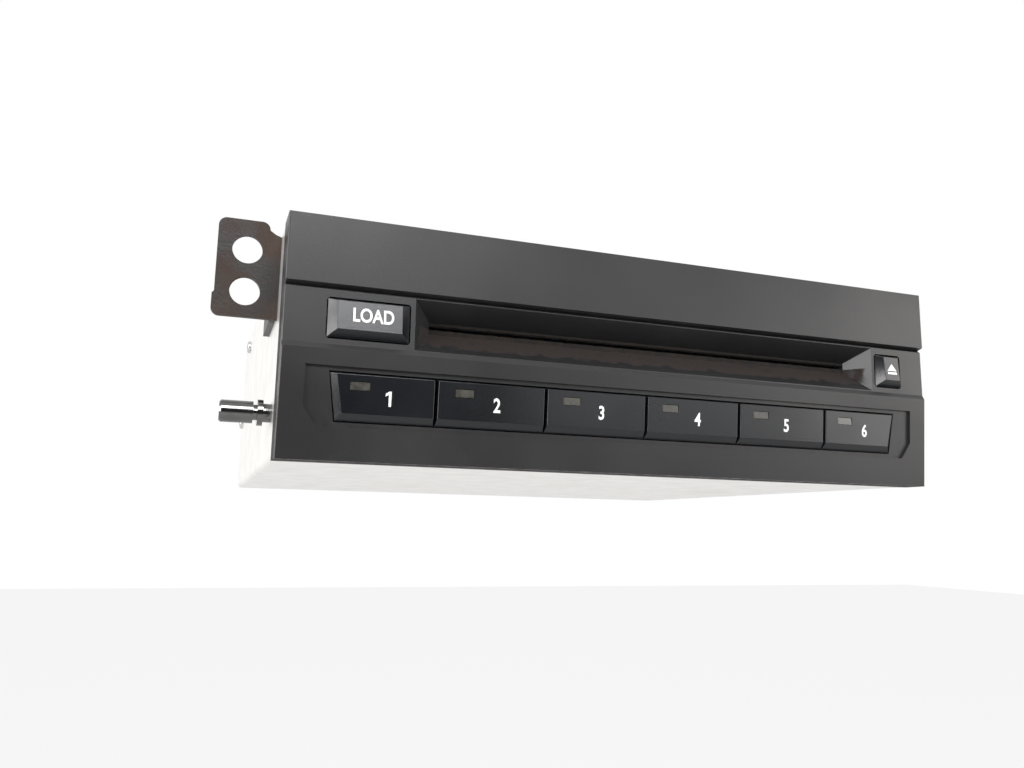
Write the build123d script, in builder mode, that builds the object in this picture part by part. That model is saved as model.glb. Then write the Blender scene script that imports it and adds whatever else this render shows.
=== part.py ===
from build123d import *
import os
from math import atan2, cos, degrees, hypot, pi, radians, sin, tan

# In-dash six-disc changer: moulded front with eight keys, sheet-steel case, six-disc mechanism.
# Millimetres, +Z up. The front faces -Y and X runs to the right, as seen from the front.
# Z = 0 is the underside of the case; the middle of the overall width and length is on the Z axis.

# ---------------------------------------------------------------- driving sizes
front_width = 188.0
front_height = 58.0
bezel_depth = 10.0
bezel_wall = 1.8
bezel_edge = 0.6
band_edge = 0.25
end_edge = 0.4
cavity_depth = 4.6

sheet = 1.0
bend_radius = 1.4
case_height = 57.0
case_depth = 160.0
fit_gap = 0.1
seat_gap = 0.3
run_gap = 0.05
key_gap = 0.3

# front bands, as depth behind the foremost face and height above the underside
band_low_top = 25.9
band_low_lean = 2.3
band_low_depth = 0.3
mid_depth = 1.0
mid_bottom = 27.1
groove_bottom = 40.3
groove_depth = 1.8
groove_top = 41.5

# disc slot
disc_diameter = 120.0
disc_thickness = 1.2
slot_clearance = 3.9
slot_x = 6.2
slot_z = 34.6
slot_height = 3.0
mouth_width = 137.9
mouth_bottom = 27.4
mouth_top = 40.1
throat_depth = 7.4
lip_opening = 1.6

# LOAD and eject keys
cap_proud_top = 1.3
cap_proud_bottom = 2.2
cap_bevel = 2.1
cap_top_bevel = 0.5
hole_bottom = 28.5
hole_top = 38.5
load_left = -84.1
load_right = -63.9
eject_left = 76.1
eject_right = 85.7
hole_round = 0.9

# preset keys
key_count = 6
key_pitch = 28.5
row_bottom = 9.0
row_top = 21.0
row_half_top = 82.7
row_half_bottom = 81.1
key_proud = 0.5
recess_depth = 0.8
recess_top = 22.1
recess_bottom = 7.9
recess_half_top = 88.3
recess_half_bottom = 85.2
recess_bend = 12.5
key_bottom_bevel = 1.8
key_end_bevel = 1.4
key_side_bevel = 0.35
key_top_bevel = 0.3
key_edge = 0.2
key_travel = 0.8
flange_reach = 0.8
flange_thick = 0.7
plunger_radius = 1.6
window_width = 4.7
window_height = 1.9
window_inset = 4.9
window_z = 17.6

# switch board behind the front
board_thick = 1.2
switch_height = 1.3
switch_size = 4.6
switch_board_side_gap = 4.7
switch_board_bottom = 3.4
switch_board_top = 41.0

# bosses, hooks and lamps behind the front
led_height = 0.7
led_size = 3.0
stake_radius = 1.0
stake_boss_radius = 1.8
stake_places = [(-70.0, 5.7), (70.0, 5.7), (-48.0, 25.0), (60.0, 25.0)]
hook_places = [-56.0, 0.0, 56.0]
hook_width = 9.0
hook_length = 5.0
hook_root = 3.0
hook_thick = 1.2
board_clear = 1.0

# case fittings
screw_head_radius = 2.3
screw_head_height = 1.4
screw_radius = 1.2
ear_setback = 18.0
ear_thick = 1.5
ear_reach = 15.3
ear_bottom = 35.6
ear_top = 60.5
ear_neck_top = 57.0
ear_foot = 26.0
ear_hole_radius = 3.65
ear_hole_reach = 8.1
ear_hole_low = 42.2
ear_hole_pitch = 10.7
pin_setback = 18.0
pin_z = 12.1
pin_radius = 2.7
pin_head = 7.8
pin_neck = 1.0
pin_collar_radius = 3.2
pin_collar = 1.3
pin_root = 2.0
pin_root_radius = 2.3
pin_shank_radius = 1.7

# electronics
post_height = 3.0
main_board_left = -52.0
main_board_right = 72.0
main_board_depth = 92.0
connector_length = 14.0
connector_out = 6.5
connector_height = 9.0
power_width = 31.0
power_x = 45.0
optical_width = 15.0
optical_x = -32.0

# mechanism
base_z = 9.2
base_thick = 1.0
base_side_gap = 5.0
base_front_gap = 1.0
base_back_gap = 7.0
disc_setback = 90.0
disc_x = slot_x
damper_radius = 4.5
damper_neck = 2.6

roller_radius = 4.5
shaft_radius = 1.5
roller_setback = 18.5
guide_height = 3.4
bracket_front = 13.0
bracket_back = 26.6
bracket_top = 38.0
cheek_left_reach = 72.0
cheek_right_reach = 66.0
cheek_left = slot_x - cheek_left_reach
cheek_right = slot_x + cheek_right_reach

gear_module = 0.5
tooth_root = 1.2
tooth_tip = 0.85
tooth_sink = 0.94
pressure_angle = 20.0
gear_width = 2.4
backlash = 0.16
roller_teeth = 24
idler_teeth = 28
pinion_teeth = 10
idler_angle = -60.0
pinion_angle = 0.0
motor_radius = 6.0
motor_length = 7.0
motor_shaft_radius = 0.75

screw_places = ((76.0, 62.0), (68.0, 133.0), (-6.0, 155.0))
motor_pulley_place = (82.0, 98.0)
lift_radius = 2.5
lift_top = 54.5
thread_pitch = 2.0
thread_depth = 0.5
pulley_radius = 6.0
pulley_flange = 0.7
pulley_height = 2.6
belt_thick = 0.8
belt_width = 1.6

tray_count = 6
tray_pitch = 3.4
tray_low = 14.5
tray_split = 18.8
tray_thick = 1.1
tray_rim = 0.9
tray_inner = 50.0
tray_outer = 62.0
tray_rim_width = 1.2
tray_half_opening = 62.0
lug_radius = 5.0

pivot_x = -78.0
pivot_setback = 152.0
pivot_radius = 2.5
boss_radius = 5.0
deck_half = 13.0
deck_z = 28.0
deck_thick = 1.0
rod_radius = 1.2
rod_offset = 8.0
rod_lift = 3.0
feed_radius = 0.9
feed_offset = 11.2
sled_length = 14.0
sled_start = 24.0
sled_travel = 34.0
turntable_radius = 9.0
clamp_z = 36.6
clamp_hinge_setback = 138.0
clamp_half = 5.0
swing_teeth = 52
swing_pinion_teeth = 12

# ---------------------------------------------------------------- derived places
unit_length = cap_proud_bottom + bezel_depth + case_depth + connector_out - mid_depth
face_y = -unit_length / 2 + cap_proud_bottom - mid_depth
case_front_y = face_y + bezel_depth
case_back_y = case_front_y + case_depth
half_width = front_width / 2
inner_half = half_width - sheet
throat_width = disc_diameter + 2 * slot_clearance
switch_board_half = half_width - bezel_wall - switch_board_side_gap
base_half = inner_half - base_side_gap
base_front_y = case_front_y + sheet + base_front_gap
base_back_y = case_back_y - sheet - base_back_gap
lean = band_low_lean - band_low_depth
switch_board_back_gap = 1.2
switch_board_depth = bezel_depth - board_thick - switch_board_back_gap
key_back_depth = switch_board_depth - switch_height - key_travel - run_gap
switch_board_y = face_y + switch_board_depth
switch_board_back = switch_board_y + board_thick
cover_bottom = case_height - sheet
board_z = sheet + post_height
disc_y = face_y + disc_setback
base_top = base_z + base_thick
throat_bottom = slot_z - slot_height / 2
throat_top = slot_z + slot_height / 2
roller_y = face_y + roller_setback
roller_z = slot_z - disc_thickness / 2 - run_gap - roller_radius
pivot_y = face_y + pivot_setback
deck_top = deck_z + deck_thick
rod_z = deck_top + rod_lift

os.makedirs("parts", exist_ok=True)


def front_plane(depth):
    """Plane parallel to the front face, this far behind it; its x is X and its y is Z."""
    return Plane.XZ.offset(-(face_y + depth))


def side_plane(x):
    """Plane across the width at this X; its x is Y and its y is Z."""
    return Plane.YZ.offset(x)


def level(z):
    """Horizontal plane at this height."""
    return Plane.XY.offset(z)


def band_plane(proud):
    """Plane along the leaning lower band, this far in front of it; its y is almost Z."""
    normal = (0, -band_low_top, -lean)
    return Plane(origin=(0, face_y + band_low_lean, 0), x_dir=(1, 0, 0), z_dir=normal).offset(proud)


def prism(plane, outline, amount, mode=Mode.ADD):
    """Extrude this outline on the plane into the current piece."""
    with BuildSketch(plane) as profile:
        Polygon(*outline, align=None)
    extrude(profile.sketch, amount=amount, mode=mode)


def rods(plane, places, radius, amount, mode=Mode.ADD):
    """Extrude a circle at each place on the plane into the current piece."""
    with BuildSketch(plane) as profile:
        with Locations(*places):
            Circle(radius)
    extrude(profile.sketch, amount=amount, mode=mode)


def block(low, high, mode=Mode.ADD):
    """Box between two opposite corners, in the current piece."""
    middle = [(low[i] + high[i]) / 2 for i in range(3)]
    with Locations(tuple(middle)):
        Box(high[0] - low[0], high[1] - low[1], high[2] - low[2], mode=mode)


def inset_outline(outline, left, right, bottom, top):
    """The four-cornered outline (top left, top right, bottom right, bottom left) drawn in on its sides."""
    (ax, az), (bx, bz), (cx, cz), (dx, dz) = outline
    upper = [(ax + left, az - top), (bx - right, bz - top)]
    lower = [(cx - right, cz + bottom), (dx + left, dz + bottom)]
    return upper + lower


def band_depth(z):
    """Depth of the lower band's face at this height."""
    return band_low_depth + lean * (band_low_top - z) / band_low_top


def mirror_ends(part):
    """The same piece on the other side of the unit."""
    return mirror(part, about=Plane.YZ)


# ---------------------------------------------------------------- front frame
band_profile = [
    (case_front_y, 0),
    (face_y + band_low_lean, 0),
    (face_y + band_low_depth, band_low_top),
    (face_y + mid_depth, mid_bottom),
    (face_y + mid_depth, groove_bottom),
    (face_y + groove_depth, (groove_bottom + groove_top) / 2),
    (face_y, groove_top),
    (face_y, front_height),
    (case_front_y, front_height),
]
row_outline = [
    (-row_half_top, row_top),
    (row_half_top, row_top),
    (row_half_bottom, row_bottom),
    (-row_half_bottom, row_bottom),
]
recess_outline = [
    (-recess_half_top, recess_top),
    (recess_half_top, recess_top),
    (recess_half_top, recess_bend),
    (recess_half_bottom, recess_bottom),
    (-recess_half_bottom, recess_bottom),
    (-recess_half_top, recess_bend),
]


def hole_sketch(left, right):
    """Rounded rectangle of a key hole in the middle band, drawn on the current sketch."""
    with Locations(((left + right) / 2, (hole_bottom + hole_top) / 2)):
        RectangleRounded(right - left, hole_top - hole_bottom, hole_round)


with BuildPart() as bezel:
    with BuildSketch(side_plane(-half_width)) as profile:
        with BuildLine():
            Polyline(*band_profile, close=True)
        make_face()
        corners = profile.vertices().filter_by(lambda v: v.Y < case_front_y - bezel_edge)
        fillet(corners.filter_by(lambda v: v.Z < front_height - bezel_edge), band_edge)
        corners = profile.vertices().filter_by(lambda v: v.Y < case_front_y - bezel_edge)
        fillet(corners.filter_by(lambda v: v.Z > front_height - fit_gap), bezel_edge)
    extrude(amount=front_width)
    ends = bezel.edges().filter_by(lambda e: abs(abs(e.center().X) - half_width) < fit_gap)
    ends = ends.filter_by(lambda e: e.center().Y < case_front_y - bezel_depth / 2 and e.center().Z > 0)
    fillet(ends, end_edge)
    # the hollow behind, with a shell left around the funnel
    with BuildSketch(front_plane(cavity_depth)):
        with Locations((0, front_height / 2)):
            Rectangle(front_width - 2 * bezel_wall, front_height - 2 * bezel_wall)
    extrude(amount=cavity_depth - bezel_depth, mode=Mode.SUBTRACT)
    with BuildSketch(front_plane(mid_depth + bezel_wall)):
        with Locations((slot_x, (mouth_bottom + mouth_top) / 2)):
            Rectangle(mouth_width + bezel_wall, mouth_top - mouth_bottom + bezel_wall)
    with BuildSketch(front_plane(throat_depth + run_gap)):
        with Locations((slot_x, slot_z)):
            Rectangle(throat_width + 2 * bezel_wall, slot_height + 2 * bezel_wall)
    loft()
    with BuildSketch(front_plane(throat_depth)):
        with Locations((slot_x, slot_z)):
            Rectangle(throat_width + 2 * bezel_wall, slot_height + 2 * bezel_wall)
    extrude(amount=throat_depth - bezel_depth)
    # funnel and throat
    with BuildSketch(front_plane(mid_depth)):
        with Locations((slot_x, (mouth_bottom + mouth_top) / 2)):
            Rectangle(mouth_width, mouth_top - mouth_bottom)
    with BuildSketch(front_plane(throat_depth)):
        with Locations((slot_x, slot_z)):
            Rectangle(throat_width, slot_height)
    loft(mode=Mode.SUBTRACT)
    with BuildSketch(front_plane(throat_depth)):
        with Locations((slot_x, slot_z)):
            Rectangle(throat_width, slot_height)
    extrude(amount=throat_depth - bezel_depth, mode=Mode.SUBTRACT)
    # key holes and the recess round the preset keys
    with BuildSketch(front_plane(0)):
        hole_sketch(load_left, load_right)
        hole_sketch(eject_left, eject_right)
    extrude(amount=-cavity_depth, mode=Mode.SUBTRACT)
    with BuildSketch(band_plane(-recess_depth)):
        with BuildLine():
            Polyline(*recess_outline, close=True)
        make_face()
    extrude(amount=2 * recess_depth, mode=Mode.SUBTRACT)
    with BuildSketch(band_plane(recess_depth)):
        with BuildLine():
            Polyline(*row_outline, close=True)
        make_face()
    extrude(amount=-cavity_depth - recess_depth, mode=Mode.SUBTRACT)
    # heat-staked bosses that carry the switch board, and hooks that catch the case
    rods(front_plane(cavity_depth), stake_places, stake_boss_radius, cavity_depth - switch_board_depth)
    rods(front_plane(switch_board_depth), stake_places, stake_radius, -board_thick - seat_gap)
    for x in hook_places:
        left = x - hook_width / 2
        right = x + hook_width / 2
        root_y = case_front_y - hook_root
        tip_y = case_front_y + hook_length
        low_hook = sheet + fit_gap
        high_hook = cover_bottom - fit_gap - hook_thick
        block((left, root_y, 0), (right, case_front_y, low_hook + hook_thick))
        block((left, root_y, low_hook), (right, tip_y, low_hook + hook_thick))
        block((left, root_y, high_hook), (right, case_front_y, front_height))
        block((left, root_y, high_hook), (right, tip_y, high_hook + hook_thick))
bezel.part.label = "bezel"
export_step(bezel.part, "parts/bezel.step")


# ---------------------------------------------------------------- keys
def bevelled_cap(base_plane, base, face_plane, face):
    """Loft from the base outline to the face outline into the current piece."""
    with BuildSketch(base_plane) as base_sketch:
        Polygon(*base, align=None)
    with BuildSketch(face_plane) as face_sketch:
        Polygon(*face, align=None)
    cap = loft([base_sketch.sketch, face_sketch.sketch], ruled=True)
    fillet(cap.edges().filter_by(lambda e: base_plane.to_local_coords(e.center()).Z > fit_gap), key_edge)


def back_of_key(outline, start_depth, middle):
    """The key's body behind its cap, with a flange that stops behind the front and its plunger."""
    flange_depth = cavity_depth + run_gap
    prism(front_plane(start_depth), outline, start_depth - flange_depth)
    flange = inset_outline(outline, 0, 0, -flange_reach, -flange_reach)
    prism(front_plane(flange_depth), flange, -flange_thick)
    plunger_depth = flange_depth + flange_thick
    rods(front_plane(plunger_depth), [middle], plunger_radius, plunger_depth - key_back_depth)


def corner_key(left, right):
    """A LOAD or eject key: a bevelled cap that stands further out at its bottom."""
    outline = [
        (left + key_gap, hole_top - key_gap),
        (right - key_gap, hole_top - key_gap),
        (right - key_gap, hole_bottom + key_gap),
        (left + key_gap, hole_bottom + key_gap),
    ]
    bevel = min(cap_bevel, (right - left) / 5)
    tilt = (cap_proud_bottom - cap_proud_top) / (hole_top - hole_bottom)
    foremost = mid_depth - cap_proud_bottom
    tilted = Plane(
        origin=(0, face_y + foremost - tilt * (hole_bottom + cap_bevel), 0),
        x_dir=(1, 0, 0),
        z_dir=(0, -1, tilt),
    )
    face = inset_outline(outline, bevel, bevel, cap_bevel - key_gap, cap_top_bevel)
    with BuildPart() as key:
        bevelled_cap(front_plane(mid_depth), outline, tilted, face)
        back_of_key(outline, mid_depth, ((left + right) / 2, (hole_bottom + hole_top) / 2))
    return key.part


with BuildPart() as load_button:
    add(corner_key(load_left, load_right))
load_button.part.label = "load_button"
export_step(load_button.part, "parts/load_button.step")

with BuildPart() as eject_button:
    add(corner_key(eject_left, eject_right))
eject_button.part.label = "eject_button"
export_step(eject_button.part, "parts/eject_button.step")

key_gaps = [(i - key_count / 2) * key_pitch for i in range(key_count + 1)]
key_middles = []
window_places = []
for i in range(key_count):
    first = i == 0
    last = i == key_count - 1
    left_top = -row_half_top if first else key_gaps[i] - key_gap / 2
    left_bottom = -row_half_bottom if first else key_gaps[i] - key_gap / 2
    right_top = row_half_top if last else key_gaps[i + 1] + key_gap / 2
    right_bottom = row_half_bottom if last else key_gaps[i + 1] + key_gap / 2
    key_outline = [
        (left_top + key_gap, row_top - key_gap),
        (right_top - key_gap, row_top - key_gap),
        (right_bottom - key_gap, row_bottom + key_gap),
        (left_bottom + key_gap, row_bottom + key_gap),
    ]
    middle_x = (left_top + left_bottom + right_top + right_bottom) / 4
    middle_z = (row_top + row_bottom) / 2
    window_x = left_top + window_inset + window_width / 2
    key_middles.append((middle_x, middle_z))
    window_places.append((window_x, window_z))
    left_bevel = key_end_bevel if first else key_side_bevel
    right_bevel = key_end_bevel if last else key_side_bevel
    face = inset_outline(key_outline, left_bevel, right_bevel, key_bottom_bevel, key_top_bevel)
    with BuildPart() as preset_button:
        bevelled_cap(band_plane(-recess_depth), key_outline, band_plane(key_proud), face)
        prism(band_plane(-recess_depth), key_outline, -1.0)
        back_of_key(key_outline, recess_depth + band_low_lean, (middle_x, middle_z))
        with BuildSketch(front_plane(0)):
            with Locations((window_x, window_z)):
                Rectangle(window_width + 2 * fit_gap, window_height + 2 * fit_gap)
        extrude(amount=bezel_depth, both=True, mode=Mode.SUBTRACT)
    name = f"preset_button_{i + 1}"
    preset_button.part.label = name
    export_step(preset_button.part, f"parts/{name}.step")


# ---------------------------------------------------------------- behind the front
load_middle = ((load_left + load_right) / 2, (hole_bottom + hole_top) / 2)
eject_middle = ((eject_left + eject_right) / 2, (hole_bottom + hole_top) / 2)
switch_places = [load_middle, eject_middle] + key_middles
with BuildPart() as felt_lips:
    for low_z, high_z in (
        (throat_bottom, slot_z - lip_opening / 2),
        (slot_z + lip_opening / 2, throat_top),
    ):
        block(
            (slot_x - throat_width / 2 + fit_gap, face_y + throat_depth + fit_gap, low_z),
            (slot_x + throat_width / 2 - fit_gap, case_front_y - fit_gap, high_z),
        )
felt_lips.part.label = "felt_lips"
export_step(felt_lips.part, "parts/felt_lips.step")

with BuildPart() as light_guides:
    for x, z in window_places:
        front_y = face_y + band_depth(z) - key_proud + fit_gap
        block(
            (x - window_width / 2, front_y, z - window_height / 2),
            (x + window_width / 2, switch_board_y - led_height, z + window_height / 2),
        )
light_guides.part.label = "light_guides"
export_step(light_guides.part, "parts/light_guides.step")

with BuildPart() as status_leds:
    for x, z in window_places:
        block(
            (x - led_size / 2, switch_board_y - led_height, z - window_height / 2),
            (x + led_size / 2, switch_board_y, z + window_height / 2),
        )
status_leds.part.label = "status_leds"
export_step(status_leds.part, "parts/status_leds.step")

funnel_left = slot_x - throat_width / 2 - bezel_wall - board_clear
funnel_right = slot_x + throat_width / 2 + bezel_wall + board_clear
funnel_low = throat_bottom - bezel_wall - board_clear
with BuildPart() as switch_board:
    outline = [
        (-switch_board_half, switch_board_bottom),
        (switch_board_half, switch_board_bottom),
        (switch_board_half, switch_board_top),
        (funnel_right, switch_board_top),
        (funnel_right, funnel_low),
        (funnel_left, funnel_low),
        (funnel_left, switch_board_top),
        (-switch_board_half, switch_board_top),
    ]
    prism(front_plane(switch_board_depth), outline, -board_thick)
    rods(front_plane(switch_board_depth), stake_places, stake_radius + run_gap, -board_thick, Mode.SUBTRACT)
switch_board.part.label = "switch_board"
export_step(switch_board.part, "parts/switch_board.step")

actuator_radius = 1.2
actuator_height = 0.4
with BuildPart() as tact_switches:
    with BuildSketch(front_plane(switch_board_depth)):
        with Locations(*switch_places):
            RectangleRounded(switch_size, switch_size, switch_size / 10)
    extrude(amount=switch_height - actuator_height)
    rods(
        front_plane(switch_board_depth - switch_height + actuator_height),
        switch_places,
        actuator_radius,
        actuator_height,
    )
tact_switches.part.label = "tact_switches"
export_step(tact_switches.part, "parts/tact_switches.step")

# ---------------------------------------------------------------- case
lip_height = 7.0
lip_start = 42.0
lip_end = 5.0
tab_low = 18.0
tab_high = 33.0
tab_length = 11.0
plate_low = 3.4
plate_high = 54.0
plate_slot_clear = 2.0
flex_x = -18.0
flex_width = 12.0
flex_thick = 0.3
vent_length = 18.0
vent_width = 2.4
vent_pitch = 6.0
rear_vent_z = 40.0
bead_width = 4.0
bead_depth = 0.5
bead_count = 3
bead_length = 120.0
ear_screw_setback = 29.0
ear_screw_low = 42.0
ear_screw_step = 9.0
ear_screw_y = face_y + ear_screw_setback
ear_screw_places = [(ear_screw_y + ear_screw_step * i, ear_screw_low + ear_screw_step * i) for i in range(2)]
side_screw_front = 62.0
side_screw_back = 28.0
side_screw_places = [
    (case_front_y + side_screw_front, cover_bottom - lip_height / 2),
    (case_back_y - side_screw_back, cover_bottom - lip_height / 2),
]
rear_screw_places = [(case_back_y - sheet - tab_length / 2, (tab_low + tab_high) / 2)]
pin_place = (face_y + pin_setback, pin_z)
hole_radius = screw_radius + run_gap


def both_walls(places, radius):
    """Round holes through both side walls of the current piece."""
    rods(side_plane(-half_width - bezel_depth), places, radius, front_width + 2 * bezel_depth, Mode.SUBTRACT)


with BuildPart() as chassis_tray:
    with BuildSketch(Plane.XZ.offset(-case_front_y)):
        with Locations((0, cover_bottom / 2)):
            Rectangle(front_width, cover_bottom)
        with Locations((0, sheet + cover_bottom / 2)):
            Rectangle(front_width - 2 * sheet, cover_bottom, mode=Mode.SUBTRACT)
    extrude(amount=-case_depth)
    long_edges = chassis_tray.edges().filter_by(Axis.Y)
    fillet(long_edges.group_by(Axis.Z)[0], bend_radius)
    inner_edges = chassis_tray.edges().filter_by(Axis.Y).filter_by(
        lambda e: abs(e.center().Z - sheet) < run_gap and abs(abs(e.center().X) - inner_half) < run_gap
    )
    fillet(inner_edges, bend_radius - sheet)
    both_walls(ear_screw_places + side_screw_places + rear_screw_places, hole_radius)
    both_walls([pin_place], pin_shank_radius + run_gap)
chassis_tray.part.label = "chassis_tray"
export_step(chassis_tray.part, "parts/chassis_tray.step")

with BuildPart() as top_cover:
    block((-half_width, case_front_y, cover_bottom), (half_width, case_back_y, case_height))
    for side in (-1, 1):
        outer = side * (inner_half - fit_gap)
        inner = side * (inner_half - fit_gap - sheet)
        block(
            (min(outer, inner), case_front_y + lip_start, cover_bottom - lip_height),
            (max(outer, inner), case_back_y - lip_end - tab_length, cover_bottom),
        )
    both_walls(side_screw_places, hole_radius)
    with BuildSketch(level(case_height)):
        with Locations((0, (case_front_y + case_back_y) / 2)):
            with GridLocations(0, case_depth / (bead_count + 1), 1, bead_count):
                SlotOverall(bead_length, bead_width)
    extrude(amount=-bead_depth, mode=Mode.SUBTRACT)
    # a row of ventilation slots between each two beads
    with BuildSketch(level(case_height)):
        with Locations((0, (case_front_y + case_back_y) / 2)):
            with GridLocations(vent_length + vent_pitch, case_depth / (bead_count + 1), 4, bead_count - 1):
                SlotOverall(vent_length, vent_width)
    extrude(amount=-sheet, mode=Mode.SUBTRACT)
top_cover.part.label = "top_cover"
export_step(top_cover.part, "parts/top_cover.step")

with BuildPart() as front_plate:
    reach = inner_half - fit_gap
    block((-reach, case_front_y, plate_low), (reach, case_front_y + sheet, plate_high))
    slot_half = throat_width / 2 + plate_slot_clear
    block(
        (slot_x - slot_half, case_front_y, throat_bottom - plate_slot_clear),
        (slot_x + slot_half, case_front_y + sheet, throat_top + plate_slot_clear),
        Mode.SUBTRACT,
    )
    for side in (-1, 1):
        block(
            (min(side * reach, side * (reach - sheet)), case_front_y + sheet, tab_low),
            (max(side * reach, side * (reach - sheet)), case_front_y + hook_length, tab_high),
        )
front_plate.part.label = "front_plate"
export_step(front_plate.part, "parts/front_plate.step")

connector_low = board_z + board_thick
optical_height = 0.8 * connector_height
with BuildPart() as rear_panel:
    block((-reach, case_back_y - sheet, bend_radius), (reach, case_back_y, cover_bottom))
    for x, width, height in (
        (power_x, power_width, connector_height),
        (optical_x, optical_width, optical_height),
    ):
        block(
            (x - width / 2 - fit_gap, case_back_y - sheet, connector_low - fit_gap),
            (x + width / 2 + fit_gap, case_back_y, connector_low + height + fit_gap),
            Mode.SUBTRACT,
        )
    for side in (-1, 1):
        block(
            (min(side * reach, side * (reach - sheet)), case_back_y - sheet - tab_length, tab_low),
            (max(side * reach, side * (reach - sheet)), case_back_y - sheet, tab_high),
        )
    both_walls(rear_screw_places, hole_radius)
    with BuildSketch(Plane.XZ.offset(-case_back_y)):
        with Locations((0, rear_vent_z)):
            with GridLocations(vent_length + vent_pitch, vent_pitch, 5, 3):
                SlotOverall(vent_length, vent_width)
    extrude(amount=sheet, mode=Mode.SUBTRACT)
rear_panel.part.label = "rear_panel"
export_step(rear_panel.part, "parts/rear_panel.step")

ear_step = 2.9
ear_round = 2.0
foot_height = 5.4
foot_reach = 0.5
ear_hole_places = [
    (-half_width - ear_hole_reach, ear_hole_low),
    (-half_width - ear_hole_reach, ear_hole_low + ear_hole_pitch),
]
with BuildPart() as ear_left:
    outer = -half_width - ear_reach
    outline = [
        (-half_width, ear_bottom),
        (-half_width, ear_neck_top),
        (-half_width - ear_step / 2, ear_neck_top + ear_step / 6),
        (-half_width - ear_step, ear_neck_top + ear_step / 2),
        (-half_width - ear_step, ear_top),
        (outer, ear_top),
        (outer, ear_bottom + foot_height + foot_reach),
        (outer - foot_reach, ear_bottom + foot_height),
        (outer - foot_reach, ear_bottom),
    ]
    with BuildSketch(front_plane(ear_setback)):
        Polygon(*outline, align=None)
        corners = [(-half_width - ear_step, ear_top), (outer, ear_top)]
        corners.append((outer - foot_reach, ear_bottom))
        for x, z in corners:
            fillet(vertices().sort_by_distance((x, z, 0))[0], ear_round)
    extrude(amount=-ear_thick)
    block(
        (-half_width - ear_thick, face_y + ear_setback, ear_bottom + sheet),
        (-half_width, face_y + ear_setback + ear_foot, ear_neck_top - sheet),
    )
    rods(front_plane(ear_setback), ear_hole_places, ear_hole_radius, -ear_thick, Mode.SUBTRACT)
    both_walls(ear_screw_places, hole_radius)
ear_left.part.label = "ear_left"
export_step(ear_left.part, "parts/ear_left.step")

with BuildPart() as ear_right:
    add(mirror_ends(ear_left.part))
ear_right.part.label = "ear_right"
export_step(ear_right.part, "parts/ear_right.step")

pin_chamfer = 0.4
rivet_radius = 2.6
rivet_height = 0.8
with BuildPart() as pin_left:
    steps = (
        (pin_root_radius, pin_root),
        (pin_collar_radius, pin_collar),
        (pin_root_radius - pin_chamfer, pin_neck),
        (pin_radius, pin_head),
    )
    x = -half_width
    for radius, length in steps:
        rods(side_plane(x), [pin_place], radius, -length)
        x = x - length
    chamfer(pin_left.edges().filter_by(GeomType.CIRCLE).sort_by(Axis.X)[0], pin_chamfer)
    rods(side_plane(-half_width), [pin_place], pin_shank_radius, sheet)
    rods(side_plane(-inner_half), [pin_place], rivet_radius, rivet_height)
pin_left.part.label = "pin_left"
export_step(pin_left.part, "parts/pin_left.step")

with BuildPart() as pin_right:
    add(mirror_ends(pin_left.part))
pin_right.part.label = "pin_right"
export_step(pin_right.part, "parts/pin_right.step")

# ---------------------------------------------------------------- electronics
board_back_y = case_back_y - sheet - fit_gap
board_front_y = board_back_y - main_board_depth
board_top = board_z + board_thick
post_inset = 5.0
post_radius = 3.0
post_places = [
    (x, y)
    for x in (main_board_left + post_inset, main_board_right - post_inset)
    for y in (board_front_y + post_inset, board_back_y - connector_length - post_inset)
]

with BuildPart() as board_posts:
    rods(level(sheet), post_places, post_radius, post_height)
    rods(level(sheet), post_places, hole_radius, post_height, Mode.SUBTRACT)
board_posts.part.label = "board_posts"
export_step(board_posts.part, "parts/board_posts.step")

with BuildPart() as main_board:
    block((main_board_left, board_front_y, board_z), (main_board_right, board_back_y, board_top))
    rods(level(board_z), post_places, hole_radius, board_thick, Mode.SUBTRACT)
main_board.part.label = "main_board"
export_step(main_board.part, "parts/main_board.step")

# chips: middle from the board's middle line, middle from its front edge, width, depth, height
chip_specs = (
    (-20.0, 28.0, 16.0, 16.0, 1.4),
    (20.0, 30.0, 20.0, 14.0, 1.6),
    (50.0, 34.0, 10.0, 12.0, 1.8),
    (-30.0, 58.0, 12.0, 8.0, 1.4),
    (5.0, 60.0, 14.0, 10.0, 1.4),
)
coil_places = [(40.0 + 9.0 * i, board_front_y + 58.0) for i in range(3)]
coil_radius = 3.4
coil_height = 2.6
with BuildPart() as board_components:
    for x, back, width, length, height in chip_specs:
        block(
            (x - width / 2, board_front_y + back - length / 2, board_top),
            (x + width / 2, board_front_y + back + length / 2, board_top + height),
        )
    rods(level(board_top), coil_places, coil_radius, coil_height)
board_components.part.label = "board_components"
export_step(board_components.part, "parts/board_components.step")


def socket(x, width, height, wall):
    """Open-backed connector housing on the main board that reaches out through the rear panel."""
    front = case_back_y + connector_out - connector_length
    back = case_back_y + connector_out
    with BuildPart() as housing:
        block((x - width / 2, front, board_top), (x + width / 2, back, board_top + height))
        block(
            (x - width / 2 + wall, front + 3 * wall, board_top + wall),
            (x + width / 2 - wall, back, board_top + height - wall),
            Mode.SUBTRACT,
        )
    return housing.part


socket_wall = 1.2
contact_pitch = 3.2
contact_columns = 8
contact_size = 0.8
contact_length = 7.0
with BuildPart() as power_connector:
    add(socket(power_x, power_width, connector_height, socket_wall))
power_connector.part.label = "power_connector"
export_step(power_connector.part, "parts/power_connector.step")

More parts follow.
